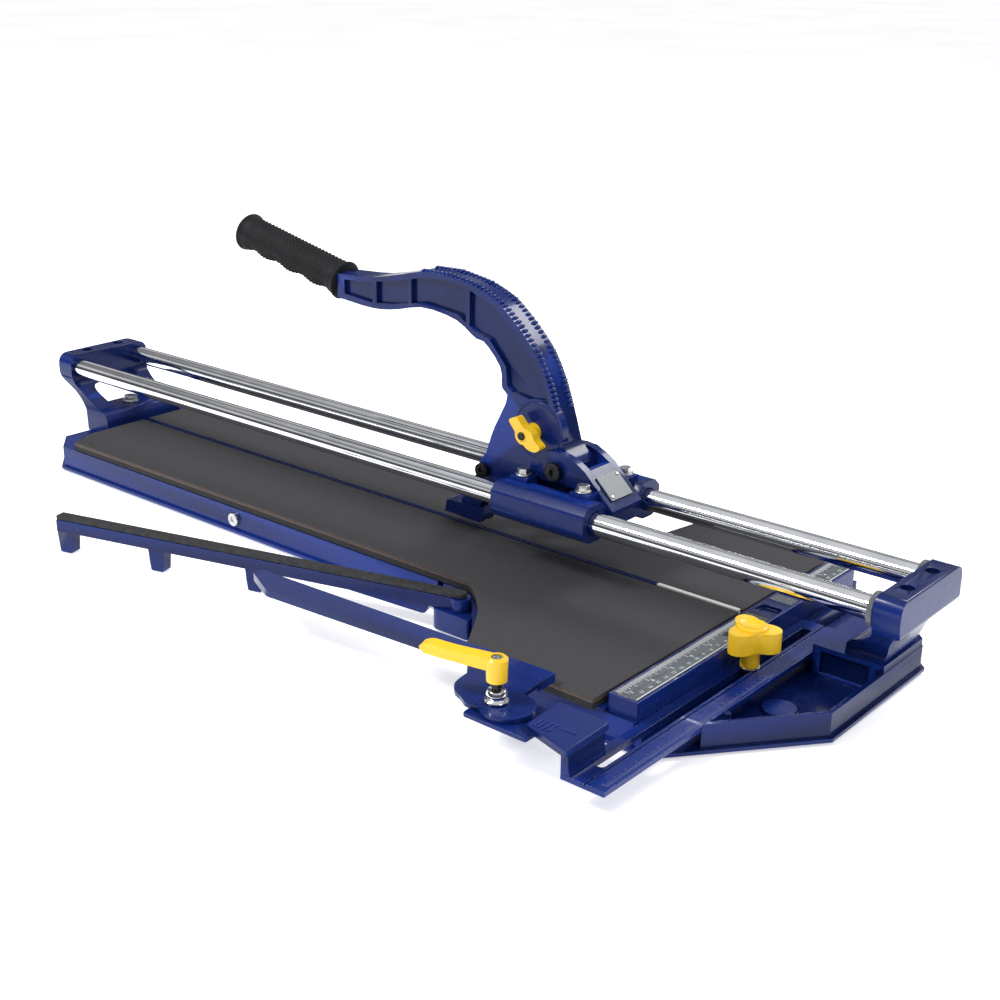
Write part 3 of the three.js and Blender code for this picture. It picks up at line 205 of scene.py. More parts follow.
def make_enamel():
    # Gloss stove enamel on castings: deep navy, a slight orange peel, and a painted highlight that makes
    # sharp edges paler.
    material, tree, shader, place = start_material(
        "Navy stove enamel", IOR=1.5, Specular_IOR_Level=0.16,
        Coat_Weight=0.3, Coat_Roughness=0.05, Coat_IOR=1.35)
    navy = colours().enamel
    body = ramp_between(tree, noise(tree, place, 60 * MM, 3), shade(navy, 0.86), shade(navy, 1.14))
    # Painted highlight: sharp edges, found by pointiness, get the navy at three times its brightness.
    edge = add_node(tree, "ShaderNodeNewGeometry").outputs["Pointiness"]
    painted_edge_highlight = add_node(tree, "ShaderNodeMapRange", {"Value": edge, "From Min": 0.52, "From Max": 0.6})
    mixed = add_node(tree, "ShaderNodeMix", data_type="RGBA", blend_type="MIX")
    tree.links.new(painted_edge_highlight.outputs["Result"], mixed.inputs["Factor"])
    tree.links.new(body, mixed.inputs["A"])
    mixed.inputs["B"].default_value = (*shade(navy, 3.0), 1)
    tree.links.new(mixed.outputs["Result"], shader.inputs["Base Color"])
    tree.links.new(spread(tree, noise(tree, place, 9 * MM), 0.2, 0.32), shader.inputs["Roughness"])
    peel = bump(tree, shader, noise(tree, place, 2.2 * MM, 1), 0.05 * MM, 0.5)
    bump(tree, shader, noise(tree, place, 14 * MM, 1), 0.25 * MM, 0.35, peel)
    return material


def make_pad_rubber():
    # Textured rubber sheet: matt dark grey, fine grain.
    # Its cut edge shows a brown layer and a dark layer; the pale line along it is a painted highlight.
    material, tree, shader, place = start_material("Textured rubber board", IOR=1.5, Specular_IOR_Level=0.35)
    grey, brown = colours().pad, colours().pad_core
    top = ramp_between(tree, noise(tree, place, 1.6 * MM, 3), shade(grey, 0.9), shade(grey, 1.1))
    upper = ramp_between(tree, noise(tree, place, 2 * MM, 3), shade(brown, 0.85), shade(brown, 1.15))
    lower = ramp_between(tree, noise(tree, place, 2 * MM, 3), shade(grey, 0.3), shade(grey, 0.5))
    height = add_node(tree, "ShaderNodeSeparateXYZ", {"Vector": place}).outputs["Z"]
    split_low, split_high = BOARD_LAYER_LEVELS
    layer = add_node(tree, "ShaderNodeMapRange", {
        "Value": height, "From Min": split_low, "From Max": split_high})
    # Painted highlight: a pale line, the brown at 2.4 times its brightness, runs along the edge at this
    # level.
    highlight_offset = add_node(tree, "ShaderNodeMath", {0: height, 1: BOARD_HIGHLIGHT_LEVEL}, operation="SUBTRACT")
    highlight_distance = add_node(tree, "ShaderNodeMath", {0: highlight_offset.outputs[0]}, operation="ABSOLUTE")
    line = add_node(tree, "ShaderNodeMapRange", {
        "Value": highlight_distance.outputs[0], "From Min": 0.15 * MM, "From Max": 0.35 * MM,
        "To Min": 1.0, "To Max": 0.0})
    layers = add_node(tree, "ShaderNodeMix", {"A": lower, "B": upper}, data_type="RGBA")
    tree.links.new(layer.outputs["Result"], layers.inputs["Factor"])
    pale = (*shade(brown, 2.4), 1)
    highlighted_layers = add_node(tree, "ShaderNodeMix", {"A": layers.outputs["Result"], "B": pale}, data_type="RGBA")
    tree.links.new(line.outputs["Result"], highlighted_layers.inputs["Factor"])
    normal = add_node(tree, "ShaderNodeNewGeometry").outputs["Normal"]
    up = add_node(tree, "ShaderNodeSeparateXYZ", {"Vector": normal})
    on_top = add_node(tree, "ShaderNodeMapRange", {
        "Value": up.outputs["Z"], "From Min": 0.3, "From Max": 0.7})
    mixed = add_node(tree, "ShaderNodeMix", {"A": highlighted_layers.outputs["Result"], "B": top}, data_type="RGBA")
    tree.links.new(on_top.outputs["Result"], mixed.inputs["Factor"])
    tree.links.new(mixed.outputs["Result"], shader.inputs["Base Color"])
    tree.links.new(spread(tree, noise(tree, place, 4 * MM), 0.7, 0.82), shader.inputs["Roughness"])
    grain = bump(tree, shader, noise(tree, place, 1.2 * MM, 2), 0.12 * MM, 0.8)
    bump(tree, shader, noise(tree, place, 6 * MM, 2), 0.12 * MM, 0.2, grain)
    return material


def make_chrome():
    # Hard chrome on ground steel bar: mirror bright, with faint grinding lines round the bar.
    material, tree, shader, place = start_material("Hard chrome", Metallic=1.0)
    bright = ramp_between(tree, noise(tree, place, 30 * MM, 2), hex_colour("dcdfe2"), hex_colour("eef0f2"))
    tree.links.new(bright, shader.inputs["Base Color"])
    polish = spread(tree, noise(tree, place, 4 * MM, 2, (0.2, 3, 3)), 0.05, 0.13)
    tree.links.new(polish, shader.inputs["Roughness"])
    bump(tree, shader, noise(tree, place, 1.5 * MM, 1, (0.3, 6, 6)), 0.008 * MM, 0.3)
    return material


def make_zinc():
    # Zinc plated steel: pale grey metal, cloudy, satin.
    material, tree, shader, place = start_material("Zinc plated steel", Metallic=1.0)
    cloudy = ramp_between(tree, noise(tree, place, 4 * MM, 3), hex_colour("b3b5b4"), hex_colour("d6d8d6"))
    tree.links.new(cloudy, shader.inputs["Base Color"])
    tree.links.new(spread(tree, noise(tree, place, 2 * MM, 3), 0.22, 0.4), shader.inputs["Roughness"])
    bump(tree, shader, noise(tree, place, 0.8 * MM, 2), 0.02 * MM, 0.4)
    return material


def make_black_steel():
    # Black oxide on steel screws: near black, oily satin.
    material, tree, shader, place = start_material("Black oxide steel", Metallic=0.85)
    dark = ramp_between(tree, noise(tree, place, 3 * MM, 3), hex_colour("1c1c1f"), hex_colour("38383c"))
    tree.links.new(dark, shader.inputs["Base Color"])
    tree.links.new(spread(tree, noise(tree, place, 2 * MM, 2), 0.28, 0.45), shader.inputs["Roughness"])
    bump(tree, shader, noise(tree, place, 0.7 * MM, 2), 0.02 * MM, 0.4)
    return material


def make_yellow_plastic():
    # Injection moulded ABS: strong yellow, semi gloss, with faint flow clouding and a fine spark texture.
    material, tree, shader, place = start_material(
        "Yellow ABS", IOR=1.54, Coat_Weight=0.15, Coat_Roughness=0.2)
    yellow = colours().plastic
    body = ramp_between(tree, noise(tree, place, 18 * MM, 2), shade(yellow, 0.93), shade(yellow, 1.04))
    tree.links.new(body, shader.inputs["Base Color"])
    tree.links.new(spread(tree, noise(tree, place, 3 * MM), 0.3, 0.42), shader.inputs["Roughness"])
    bump(tree, shader, noise(tree, place, 0.9 * MM, 1), 0.03 * MM, 0.5)
    return material


def make_grip_rubber():
    # Moulded thermoplastic rubber: near black, dull, with a fine bloom.
    material, tree, shader, place = start_material("Moulded grip rubber", IOR=1.5, Specular_IOR_Level=0.25)
    black = colours().handle_rubber
    body = ramp_between(tree, noise(tree, place, 12 * MM, 3), shade(black, 0.7), shade(black, 1.5))
    tree.links.new(body, shader.inputs["Base Color"])
    tree.links.new(spread(tree, noise(tree, place, 2.5 * MM), 0.5, 0.75), shader.inputs["Roughness"])
    bump(tree, shader, noise(tree, place, 0.8 * MM, 2), 0.06 * MM, 0.6)
    return material


def make_plain_rubber(name, low, high):
    # Moulded black or grey rubber for feet and bumpers: dull, slightly dusty.
    material, tree, shader, place = start_material(name, IOR=1.5)
    tree.links.new(ramp_between(tree, noise(tree, place, 5 * MM, 3), low, high), shader.inputs["Base Color"])
    tree.links.new(spread(tree, noise(tree, place, 2 * MM), 0.65, 0.9), shader.inputs["Roughness"])
    bump(tree, shader, noise(tree, place, 0.8 * MM, 2), 0.04 * MM, 0.6)
    return material


def make_scale_plate():
    # Brushed and anodised aluminium strip: mid grey, brushed along its length, satin.
    material, tree, shader, place = start_material("Anodised aluminium strip", Metallic=0.75)
    lines = noise(tree, place, 0.7 * MM, 2, (1, 40, 1))
    metal = ramp_between(tree, lines, hex_colour("5d6266"), hex_colour("7c8286"))
    tree.links.new(metal, shader.inputs["Base Color"])
    tree.links.new(spread(tree, lines, 0.32, 0.5), shader.inputs["Roughness"])
    bump(tree, shader, lines, 0.01 * MM, 0.4)
    return material


def make_plain_plate():
    # Bead blasted steel plate: plain mid grey, satin.
    material, tree, shader, place = start_material("Blasted steel plate", Metallic=0.6)
    fine = noise(tree, place, 0.6 * MM, 3)
    metal = ramp_between(tree, fine, hex_colour("6f7375"), hex_colour("8d9193"))
    tree.links.new(metal, shader.inputs["Base Color"])
    tree.links.new(spread(tree, fine, 0.4, 0.55), shader.inputs["Roughness"])
    bump(tree, shader, fine, 0.02 * MM, 0.5)
    return material


def make_ink(name, colour):
    # Screen printed ink: flat, slightly uneven.
    material, tree, shader, place = start_material(name, IOR=1.45)
    body = ramp_between(tree, noise(tree, place, 2 * MM, 2), shade(colour, 0.9), shade(colour, 1))
    tree.links.new(body, shader.inputs["Base Color"])
    tree.links.new(spread(tree, noise(tree, place, 1 * MM), 0.45, 0.6), shader.inputs["Roughness"])
    return material


def make_bronze():
    # Oil filled sintered bronze bush: brown gold with small pores.
    material, tree, shader, place = start_material("Sintered bronze", Metallic=1.0)
    pores = noise(tree, place, 0.9 * MM, 3)
    metal = ramp_between(tree, pores, hex_colour("7d6136"), hex_colour("b4925c"))
    tree.links.new(metal, shader.inputs["Base Color"])
    tree.links.new(spread(tree, pores, 0.35, 0.55), shader.inputs["Roughness"])
    bump(tree, shader, pores, 0.03 * MM, 0.5)
    return material


def make_carbide():
    # Ground tungsten carbide: dense grey metal with grinding lines.
    material, tree, shader, place = start_material("Ground tungsten carbide", Metallic=1.0)
    lines = noise(tree, place, 0.6 * MM, 2, (4, 1, 4))
    metal = ramp_between(tree, lines, hex_colour("85888c"), hex_colour("a7aaae"))
    tree.links.new(metal, shader.inputs["Base Color"])
    tree.links.new(spread(tree, lines, 0.18, 0.32), shader.inputs["Roughness"])
    bump(tree, shader, lines, 0.01 * MM, 0.4)
    return material


FINISH_MAKERS = {
    "blue": make_enamel,
    "rubber": make_pad_rubber,
    "foot": lambda: make_plain_rubber("Black foot rubber", hex_colour("161618"), hex_colour("27272a")),
    "chrome": make_chrome,
    "zinc": make_zinc,
    "black_steel": make_black_steel,
    "yellow": make_yellow_plastic,
    "grip": make_grip_rubber,
    "scale_plate": make_scale_plate,
    "white": lambda: make_ink("White strip", hex_colour("e9e9e6")),
    "bronze": make_bronze,
    "carbide": make_carbide,
    "bumper": lambda: make_plain_rubber("Grey bumper rubber", hex_colour("4f5356"), hex_colour("6c7074")),
    "ink": lambda: make_ink("Scale ink", colours().ink),
    "dark_ink": lambda: make_ink("Dark scale ink", hex_colour("17171a")),
    "worn_ink": lambda: make_ink("Worn scale ink", hex_colour("6d7694")),
    "arm_rubber": lambda: make_plain_rubber("Arm pad rubber", hex_colour("1b1b1d"), hex_colour("2e2e31")),
    "plain_plate": make_plain_plate,
}
finishes_made = {}


def finish_of(key):
    if key not in finishes_made:
        finishes_made[key] = FINISH_MAKERS[key]()
    return finishes_made[key]


# ------------------------------------------------------------------ modelling helpers
def start_clean():
    if bpy.context.mode != "OBJECT":
        bpy.ops.object.mode_set(mode="OBJECT")
    bpy.ops.object.select_all(action="DESELECT")


def select_only(*pieces):
    start_clean()
    for piece in pieces:
        piece.select_set(True)
    bpy.context.view_layer.objects.active = pieces[0]


def take_new(name):
    piece = bpy.context.active_object
    piece.name = name
    piece.data.name = name
    return piece


def settle(piece):
    """Puts the piece's place, turn and size into its mesh."""
    select_only(piece)
    bpy.ops.object.transform_apply(location=True, rotation=True, scale=True)


def block(name, low, high):
    start_clean()
    low, high = Vector(low), Vector(high)
    bpy.ops.mesh.primitive_cube_add(size=1, location=(low + high) / 2, scale=high - low)
    piece = take_new(name)
    settle(piece)
    return piece


def rod(name, radius, start, end, sides=64):
    start_clean()
    start, end = Vector(start), Vector(end)
    along = end - start
    turn = along.to_track_quat("Z", "Y").to_euler()
    bpy.ops.mesh.primitive_cylinder_add(
        vertices=sides, radius=radius, depth=along.length, location=(start + end) / 2, rotation=turn)
    piece = take_new(name)
    settle(piece)
    return piece


def apply_modifier(piece, kind, **settings):
    select_only(piece)
    modifier = piece.modifiers.new(kind.title(), kind)
    for name, value in settings.items():
        setattr(modifier, name, value)
    bpy.ops.object.modifier_apply(modifier=modifier.name)


def round_edges(piece, width, segments=2, sharp=35):
    select_only(piece)
    bpy.ops.object.shade_smooth_by_angle(angle=math.radians(sharp))
    apply_modifier(
        piece, "BEVEL", width=width, segments=segments, limit_method="ANGLE",
        angle_limit=math.radians(sharp), use_clamp_overlap=True, harden_normals=True)


def join(name, pieces):
    select_only(*pieces)
    bpy.ops.object.join()
    return take_new(name)


def repeat(piece, count, step):
    apply_modifier(
        piece, "ARRAY", count=count, use_relative_offset=False, use_constant_offset=True,
        constant_offset_displace=step)


def finish_piece(piece, body, finish, replaced=()):
    piece.data.materials.clear()
    piece.data.materials.append(finish_of(finish))
    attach(piece, body)
    if replaced:
        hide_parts(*replaced)


def copy_of(node, name):
    """A merged copy of a CAD node, with its flat faces made whole."""
    piece = bpy.data.objects.new(name, frame["nodes"][node].data.copy())
    bpy.context.scene.collection.objects.link(piece)
    select_only(piece)
    bpy.ops.object.mode_set(mode="EDIT")
    bpy.ops.mesh.select_all(action="SELECT")
    bpy.ops.mesh.remove_doubles(threshold=0.002 * MM)
    bpy.ops.mesh.dissolve_limited(angle_limit=math.radians(0.8))
    bpy.ops.object.mode_set(mode="OBJECT")
    return piece


def soften(node, width, segments=2, sharp=35):
    """Replaces a CAD node by a copy with rounded edges."""
    piece = copy_of(node, node + "_finished")
    round_edges(piece, width, segments, sharp)
    finish_piece(piece, BODY_OF[node], SLOT_OF[node], (node,))
    return piece


class PieceOperator:
    """What every piece's operator shares."""

    bl_options = {"REGISTER", "UNDO"}

    def execute(self, context):
        self.build(context)
        return {"FINISHED"}


# ------------------------------------------------------------------ base and boards
class CUTTER_OT_castings(PieceOperator, bpy.types.Operator):
    """Rounds the edges of the enamelled castings"""

    bl_idname = "cutter.castings"
    bl_label = "Castings"

    def build(self, context):
        edge = sizes().casting_edge
        for node in (
                "base_casting", "end_casting", "left_tower", "right_tower", "carriage_body", "handle_yoke",
                "breaker_foot", "protractor_bracket", "support_arm", "handle_casting"):
            soften(node, edge, 2)
        for node in ("slide_bar", "stop_arm", "fence"):
            soften(node, edge * 0.6, 2)


class CUTTER_OT_boards(PieceOperator, bpy.types.Operator):
    """Finishes the rubber boards, the breaking rib and the cut line marker"""

    bl_idname = "cutter.boards"
    bl_label = "Boards and breaking rib"

    def build(self, context):
        for node in ("front_pad", "back_pad"):
            soften(node, 0.7 * MM, 3)
        arm_pad = soften("support_arm_pad", 0.7 * MM, 3)
        arm_pad.data.materials[0] = finish_of("arm_rubber")
        self.breaking_rib()
        soften("cut_line_marker", sizes().machined_edge, 2)

    def breaking_rib(self):
        low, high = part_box("breaking_rib")
        rib = block("breaking_rib_finished", low, high)
        bpy.ops.object.mode_set(mode="EDIT")
        bpy.ops.mesh.select_mode(type="FACE")
        bpy.ops.mesh.select_all(action="DESELECT")
        bpy.ops.object.mode_set(mode="OBJECT")
        for face in rib.data.polygons:
            face.select = face.normal.z > 0.9
        bpy.ops.object.mode_set(mode="EDIT")
        bpy.ops.mesh.inset(thickness=1.4 * MM)
        bpy.ops.mesh.extrude_region_move(TRANSFORM_OT_translate={"value": (0, 0, -1.8 * MM)})
        bpy.ops.object.mode_set(mode="OBJECT")
        round_edges(rib, 0.35 * MM, 2)
        finish_piece(rib, "base", "blue", ("breaking_rib",))


class CUTTER_OT_rails(PieceOperator, bpy.types.Operator):
    """Makes the chromed guide rails and their bumpers"""

    bl_idname = "cutter.rails"
    bl_label = "Guide rails"

    def build(self, context):
        for name in ("front_rail", "back_rail"):
            low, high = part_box(name)
            middle = (low + high) / 2
            radius = (high.z - low.z) / 2
            start, end = (low.x, middle.y, middle.z), (high.x, middle.y, middle.z)
            rail = rod(name + "_finished", radius, start, end, 128)
            round_edges(rail, 0.8 * MM, 3)
            finish_piece(rail, "base", "chrome", (name,))
        for name in ("front_rail_bumper", "back_rail_bumper", "front_bush", "back_bush"):
            soften(name, 0.5 * MM, 2)


# ------------------------------------------------------------------ scales
def scale_lines(name, edge_x, direction, first_y, last_y, top, step, lengths, width):
    """Division lines from an edge inwards. Each further length draws out every second line before it."""
    parts = []
    reach = 0.0
    spacing = step
    for level, length in enumerate(lengths):
        start = math.ceil(round(min(first_y, last_y) / spacing, 4)) * spacing
        count = int(math.floor(round((max(first_y, last_y) - start) / spacing, 4))) + 1
        near, far = edge_x + direction * reach, edge_x + direction * length
        line = block(
            f"{name}_{level}", (min(near, far), start - width / 2, top),
            (max(near, far), start + width / 2, top + INK_HEIGHT))
        repeat(line, count, (0, spacing, 0))
        parts.append(line)
        reach = length
        spacing *= 2
    return join(name, parts)


def figure(text, height, x, y, top, turn):
    start_clean()
    bpy.ops.object.text_add(location=(0, 0, 0))
    words = bpy.context.active_object
    words.data.body = text
    words.data.size = height
    words.data.extrude = INK_HEIGHT / 2
    words.data.resolution_u = 2
    words.data.align_x = "CENTER"
    words.data.align_y = "CENTER"
    bpy.ops.object.convert(target="MESH")
    piece = bpy.context.active_object
    piece.rotation_euler = (0, 0, turn)
    piece.location = (x, y, top + INK_HEIGHT / 2)
    settle(piece)
    return piece


class CUTTER_OT_scales(PieceOperator, bpy.types.Operator):
    """Finishes the scale strips with their divisions and figures"""

    bl_idname = "cutter.scales"
    bl_label = "Scales"

    def build(self, context):
        for node in ("front_ruler", "back_ruler", "reference_plate", "centre_mark_plate"):
            soften(node, 0.2 * MM, 2)
        width = sizes().mark_width
        for name in ("front_ruler", "back_ruler"):
            self.ruler_marks(name, width)
        low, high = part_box("front_ruler")
        square = block(
            "front_ruler_square", (low.x + 7.5 * MM, -SQUARE_INCH * INCH - 2 * MM, high.z),
            (low.x + 12.5 * MM, -SQUARE_INCH * INCH + 5 * MM, high.z + 0.15 * MM))
        finish_piece(square, "base", "dark_ink")
        self.bar_scale(width)
        self.protractor(width)

    def ruler_marks(self, name, width):
        """Inch divisions from the fence's edge, inch figures, a row of centimetre figures and a pale rim"""
        low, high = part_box(name)
        lines = scale_lines(
            name + "_lines", low.x + 0.4 * MM, 1, low.y + 1.2 * MM, high.y - 1.2 * MM, high.z,
            INCH / 16, RULER_MARK_LENGTHS, width)
        turn = math.radians(90)
        figures = []
        for inch in range(1, 8):
            y = math.copysign(inch * INCH, low.y)
            has_square = name == "front_ruler" and inch == SQUARE_INCH
            if low.y + 5 * MM < y < high.y - 5 * MM and not has_square:
                figures.append(figure(str(inch), 5 * MM, low.x + 10.5 * MM, y + 2.6 * MM, high.z, turn))
        for centimetre in range(2, 19):
            y = math.copysign(centimetre * 10 * MM, low.y)
            if low.y + 3 * MM < y < high.y - 3 * MM:
                figures.append(figure(str(centimetre), 4.2 * MM, low.x + 15.6 * MM, y, high.z, turn))
        rim = block(
            name + "_rim", (high.x - 1.1 * MM, low.y + 0.6 * MM, high.z),
            (high.x - 0.3 * MM, high.y - 0.6 * MM, high.z + INK_HEIGHT))
        marks = join(name + "_marks", [lines, rim, *figures])
        finish_piece(marks, "base", "ink")

    def bar_scale(self, width):
        low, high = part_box("slide_bar")
        lines = scale_lines(
            "slide_bar_marks", high.x - 2.5 * MM, -1, low.y + 6 * MM, high.y - 6 * MM, high.z,
            INCH / 16, BAR_MARK_LENGTHS, width * 0.8)
        finish_piece(lines, "side_guide", "worn_ink")

    def protractor(self, width):
        """Raised divisions cast round the stop arm's hub"""
        low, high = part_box("clamp_spindle")
        centre = (low + high) / 2
        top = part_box("stop_arm")[1].z
        parts = []
        for degrees in range(190, 345, 5):
            inner = (11.5 if degrees % 15 == 0 else 12.5) * MM
            line = block(
                "protractor_line", (inner, -0.4 * MM, top - 0.2 * MM), (14 * MM, 0.4 * MM, top + 0.25 * MM))
            line.rotation_euler = (0, 0, math.radians(degrees))
            line.location = (centre.x, centre.y, 0)
            parts.append(line)
        marks = join("protractor_marks", parts)
        settle(marks)
        finish_piece(marks, "stop_arm", "blue")


class CUTTER_OT_cast_details(PieceOperator, bpy.types.Operator):
    """Adds the tread, ring, bars, peg and lines that stand out of the castings"""

    bl_idname = "cutter.cast_details"
    bl_label = "Cast details"

    def build(self, context):
        self.tread()
        self.hub_ring()
        self.bracket_bars()
        self.tray_peg()
        self.tower_ledges()

    def tread(self):
        """Two rows of raised blocks along the handle's outer back"""
        path = [Vector((x * MM, 0, z * MM)) for x, z in HANDLE_BACK]
        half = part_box("handle_casting")[1].y
        spots = []
        for index in range(len(path) - 1):
            start, end = path[index], path[index + 1]
            count = max(1, round((end - start).length / TREAD_PITCH))
            for step in range(count):
                spots.append((start.lerp(end, step / count), (end - start).normalized()))
        blocks = []
        for row in (-1, 1):
            for spot, along in spots:
                outward = Vector((-along.z, 0, along.x))
                start_clean()
                bpy.ops.mesh.primitive_uv_sphere_add(segments=10, ring_count=6, radius=1)
                bead = take_new("tread_block")
                turn = Matrix((along, Vector((0, 1, 0)), outward)).transposed().to_4x4()
                size = Matrix.Diagonal((*TREAD_BEAD, 1))
                place = spot + outward * 0.1 * MM + Vector((0, row * (half - 4.2 * MM), 0))
                bead.matrix_world = Matrix.Translation(place) @ turn @ size
                blocks.append(bead)
        tread = join("handle_tread", blocks)
        settle(tread)
        bpy.ops.object.shade_smooth()
        finish_piece(tread, "handle", "blue")

    def hub_ring(self):
        """Raised ring round the wing knob"""
        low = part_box("handle_casting")[0]
        start_clean()
        bpy.ops.mesh.primitive_torus_add(
            major_radius=24 * MM, minor_radius=1.1 * MM, major_segments=96, minor_segments=12,
            location=(HUB_CENTRE[0], low.y + 0.1 * MM, HUB_CENTRE[1]), rotation=(math.radians(90), 0, 0))
        ring = take_new("hub_ring")
        ring.scale = (1, 1, 0.4)
        settle(ring)
        bpy.ops.object.shade_smooth()
        finish_piece(ring, "handle", "blue")

    def bracket_bars(self):
        """Raised generic pointer and bars on the bracket's plate"""
        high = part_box("protractor_bracket")[1]
        parts = []
        for step in range(4):
            x = BRACKET_BAR_START + step * BRACKET_BAR_PITCH
            front, back = BRACKET_BAR_ENDS
            parts.append(block(
                "bracket_bar", (x, front, high.z - 0.2 * MM),
                (x + BRACKET_BAR_WIDTH, back, high.z + 0.6 * MM)))
        start_clean()
        bpy.ops.mesh.primitive_cylinder_add(
            vertices=3, radius=7 * MM, depth=0.8 * MM, location=(*BRACKET_POINTER, high.z + 0.2 * MM))
        pointer = take_new("bracket_pointer")
        settle(pointer)
        parts.append(pointer)
        bars = join("bracket_bars", parts)
        round_edges(bars, 0.2 * MM, 2)
        finish_piece(bars, "side_guide", "blue")

    def tray_peg(self):
        """Small cast pin in the tray beside the slide bar"""
        bottom, top = TRAY_PEG_LEVELS
        peg = rod("tray_peg", 2.4 * MM, (*TRAY_PEG, bottom), (*TRAY_PEG, top), 32)
        round_edges(peg, 0.6 * MM, 3)
        finish_piece(peg, "base", "blue")

    def tower_ledges(self):
        """A raised line on each tower's rail clamp"""
        parts = []
        low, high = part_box("left_tower")
        bottom, top = LEFT_TOWER_LINE_LEVELS
        parts.append(block(
            "tower_line", (low.x + 3 * MM, low.y - 0.3 * MM, bottom), (low.x + 19 * MM, low.y + 1 * MM, top)))
        low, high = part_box("right_tower")
        bottom, top = RIGHT_TOWER_LINE_LEVELS
        parts.append(block(
            "tower_line", (high.x - 0.4 * MM, low.y + 14 * MM, bottom),
            (high.x - 0.02 * MM, high.y - 12 * MM, top)))
        lines = join("tower_lines", parts)
        round_edges(lines, 0.15 * MM, 2)
        finish_piece(lines, "base", "blue")


# ------------------------------------------------------------------ small hardware
class CUTTER_OT_hardware(PieceOperator, bpy.types.Operator):
    """Finishes the screws, bolts, washers, pins and small plates"""

    bl_idname = "cutter.hardware"
    bl_label = "Hardware"

    def build(self, context):
        edge = sizes().machined_edge
        for node in BODY_OF:
            if SLOT_OF[node] in ("zinc", "black_steel") and node != "base_side_screw":
                soften(node, edge, 2, 32)
        soften("flange_washer", edge, 2, 40)
        soften("scoring_wheel", 0.15 * MM, 1)
        plate = soften("square_plate", 0.4 * MM, 2)
        plate.data.materials[0] = finish_of("plain_plate")
        self.side_screw()
        self.rivets()

    def side_screw(self):
        low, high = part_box("base_side_screw")
        x, z = (low.x + high.x) / 2, (low.z + high.z) / 2
        head = rod("base_side_screw_finished", (high.x - low.x) / 2, (x, high.y, z), (x, low.y, z), 48)
        for face in head.data.polygons:
            face.select = face.normal.y < -0.9
        bpy.ops.object.mode_set(mode="EDIT")
        bpy.ops.mesh.select_mode(type="FACE")
        bpy.ops.mesh.inset(thickness=3.8 * MM)
        bpy.ops.mesh.extrude_region_move(TRANSFORM_OT_translate={"value": (0, 1.4 * MM, 0)})
        bpy.ops.object.mode_set(mode="OBJECT")
        round_edges(head, 1.1 * MM, 4)
        finish_piece(head, "base", "zinc", ("base_side_screw",))

    def rivets(self):
        low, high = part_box("square_plate")
        centre = (low + high) / 2
        slope = math.atan2(high.z - low.z, high.x - low.x)
        normal = Vector((math.sin(slope), 0, math.cos(slope)))
        rivets = []
        down = Vector((math.cos(slope), 0, -math.sin(slope)))
        for side in (-1, 1):
            base = Vector((centre.x, side * 11 * MM, centre.z)) + down * side * -8.5 * MM + normal * 0.3 * MM
            rivet = rod("square_plate_rivet", 1.5 * MM, base, base + normal * 1.0 * MM, 24)
            round_edges(rivet, 0.6 * MM, 3)
            rivets.append(rivet)
        finish_piece(join("square_plate_rivets", rivets), "carriage", "zinc")


# ------------------------------------------------------------------ plastics and grip
class CUTTER_OT_knobs(PieceOperator, bpy.types.Operator):
    """Finishes the yellow knobs and the clamp lever"""

    bl_idname = "cutter.knobs"
    bl_label = "Knobs and lever"

    def build(self, context):
        edge = sizes().moulded_edge
        soften("star_knob", edge, 3, 30)
        soften("wing_knob", edge * 0.7, 3, 30)
        self.wing_knob_screw()
        soften("clamp_lever", edge * 0.7, 3, 30)
        for node in BODY_OF:
            if SLOT_OF[node] == "foot":
                soften(node, 0.3 * MM, 1)

    def wing_knob_screw(self):
        """Dark screw head standing out of the wing knob's middle"""
        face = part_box("wing_knob")[0].y
        centre = JOINT_PLACE["wing_knob_turn"]
        head = rod(
            "wing_knob_screw", 3.6 * MM, (centre.x, face + 0.9 * MM, centre.z),
            (centre.x, face - 0.9 * MM, centre.z), 32)
        round_edges(head, 0.8 * MM, 3)
        finish_piece(head, "wing_knob", "black_steel")


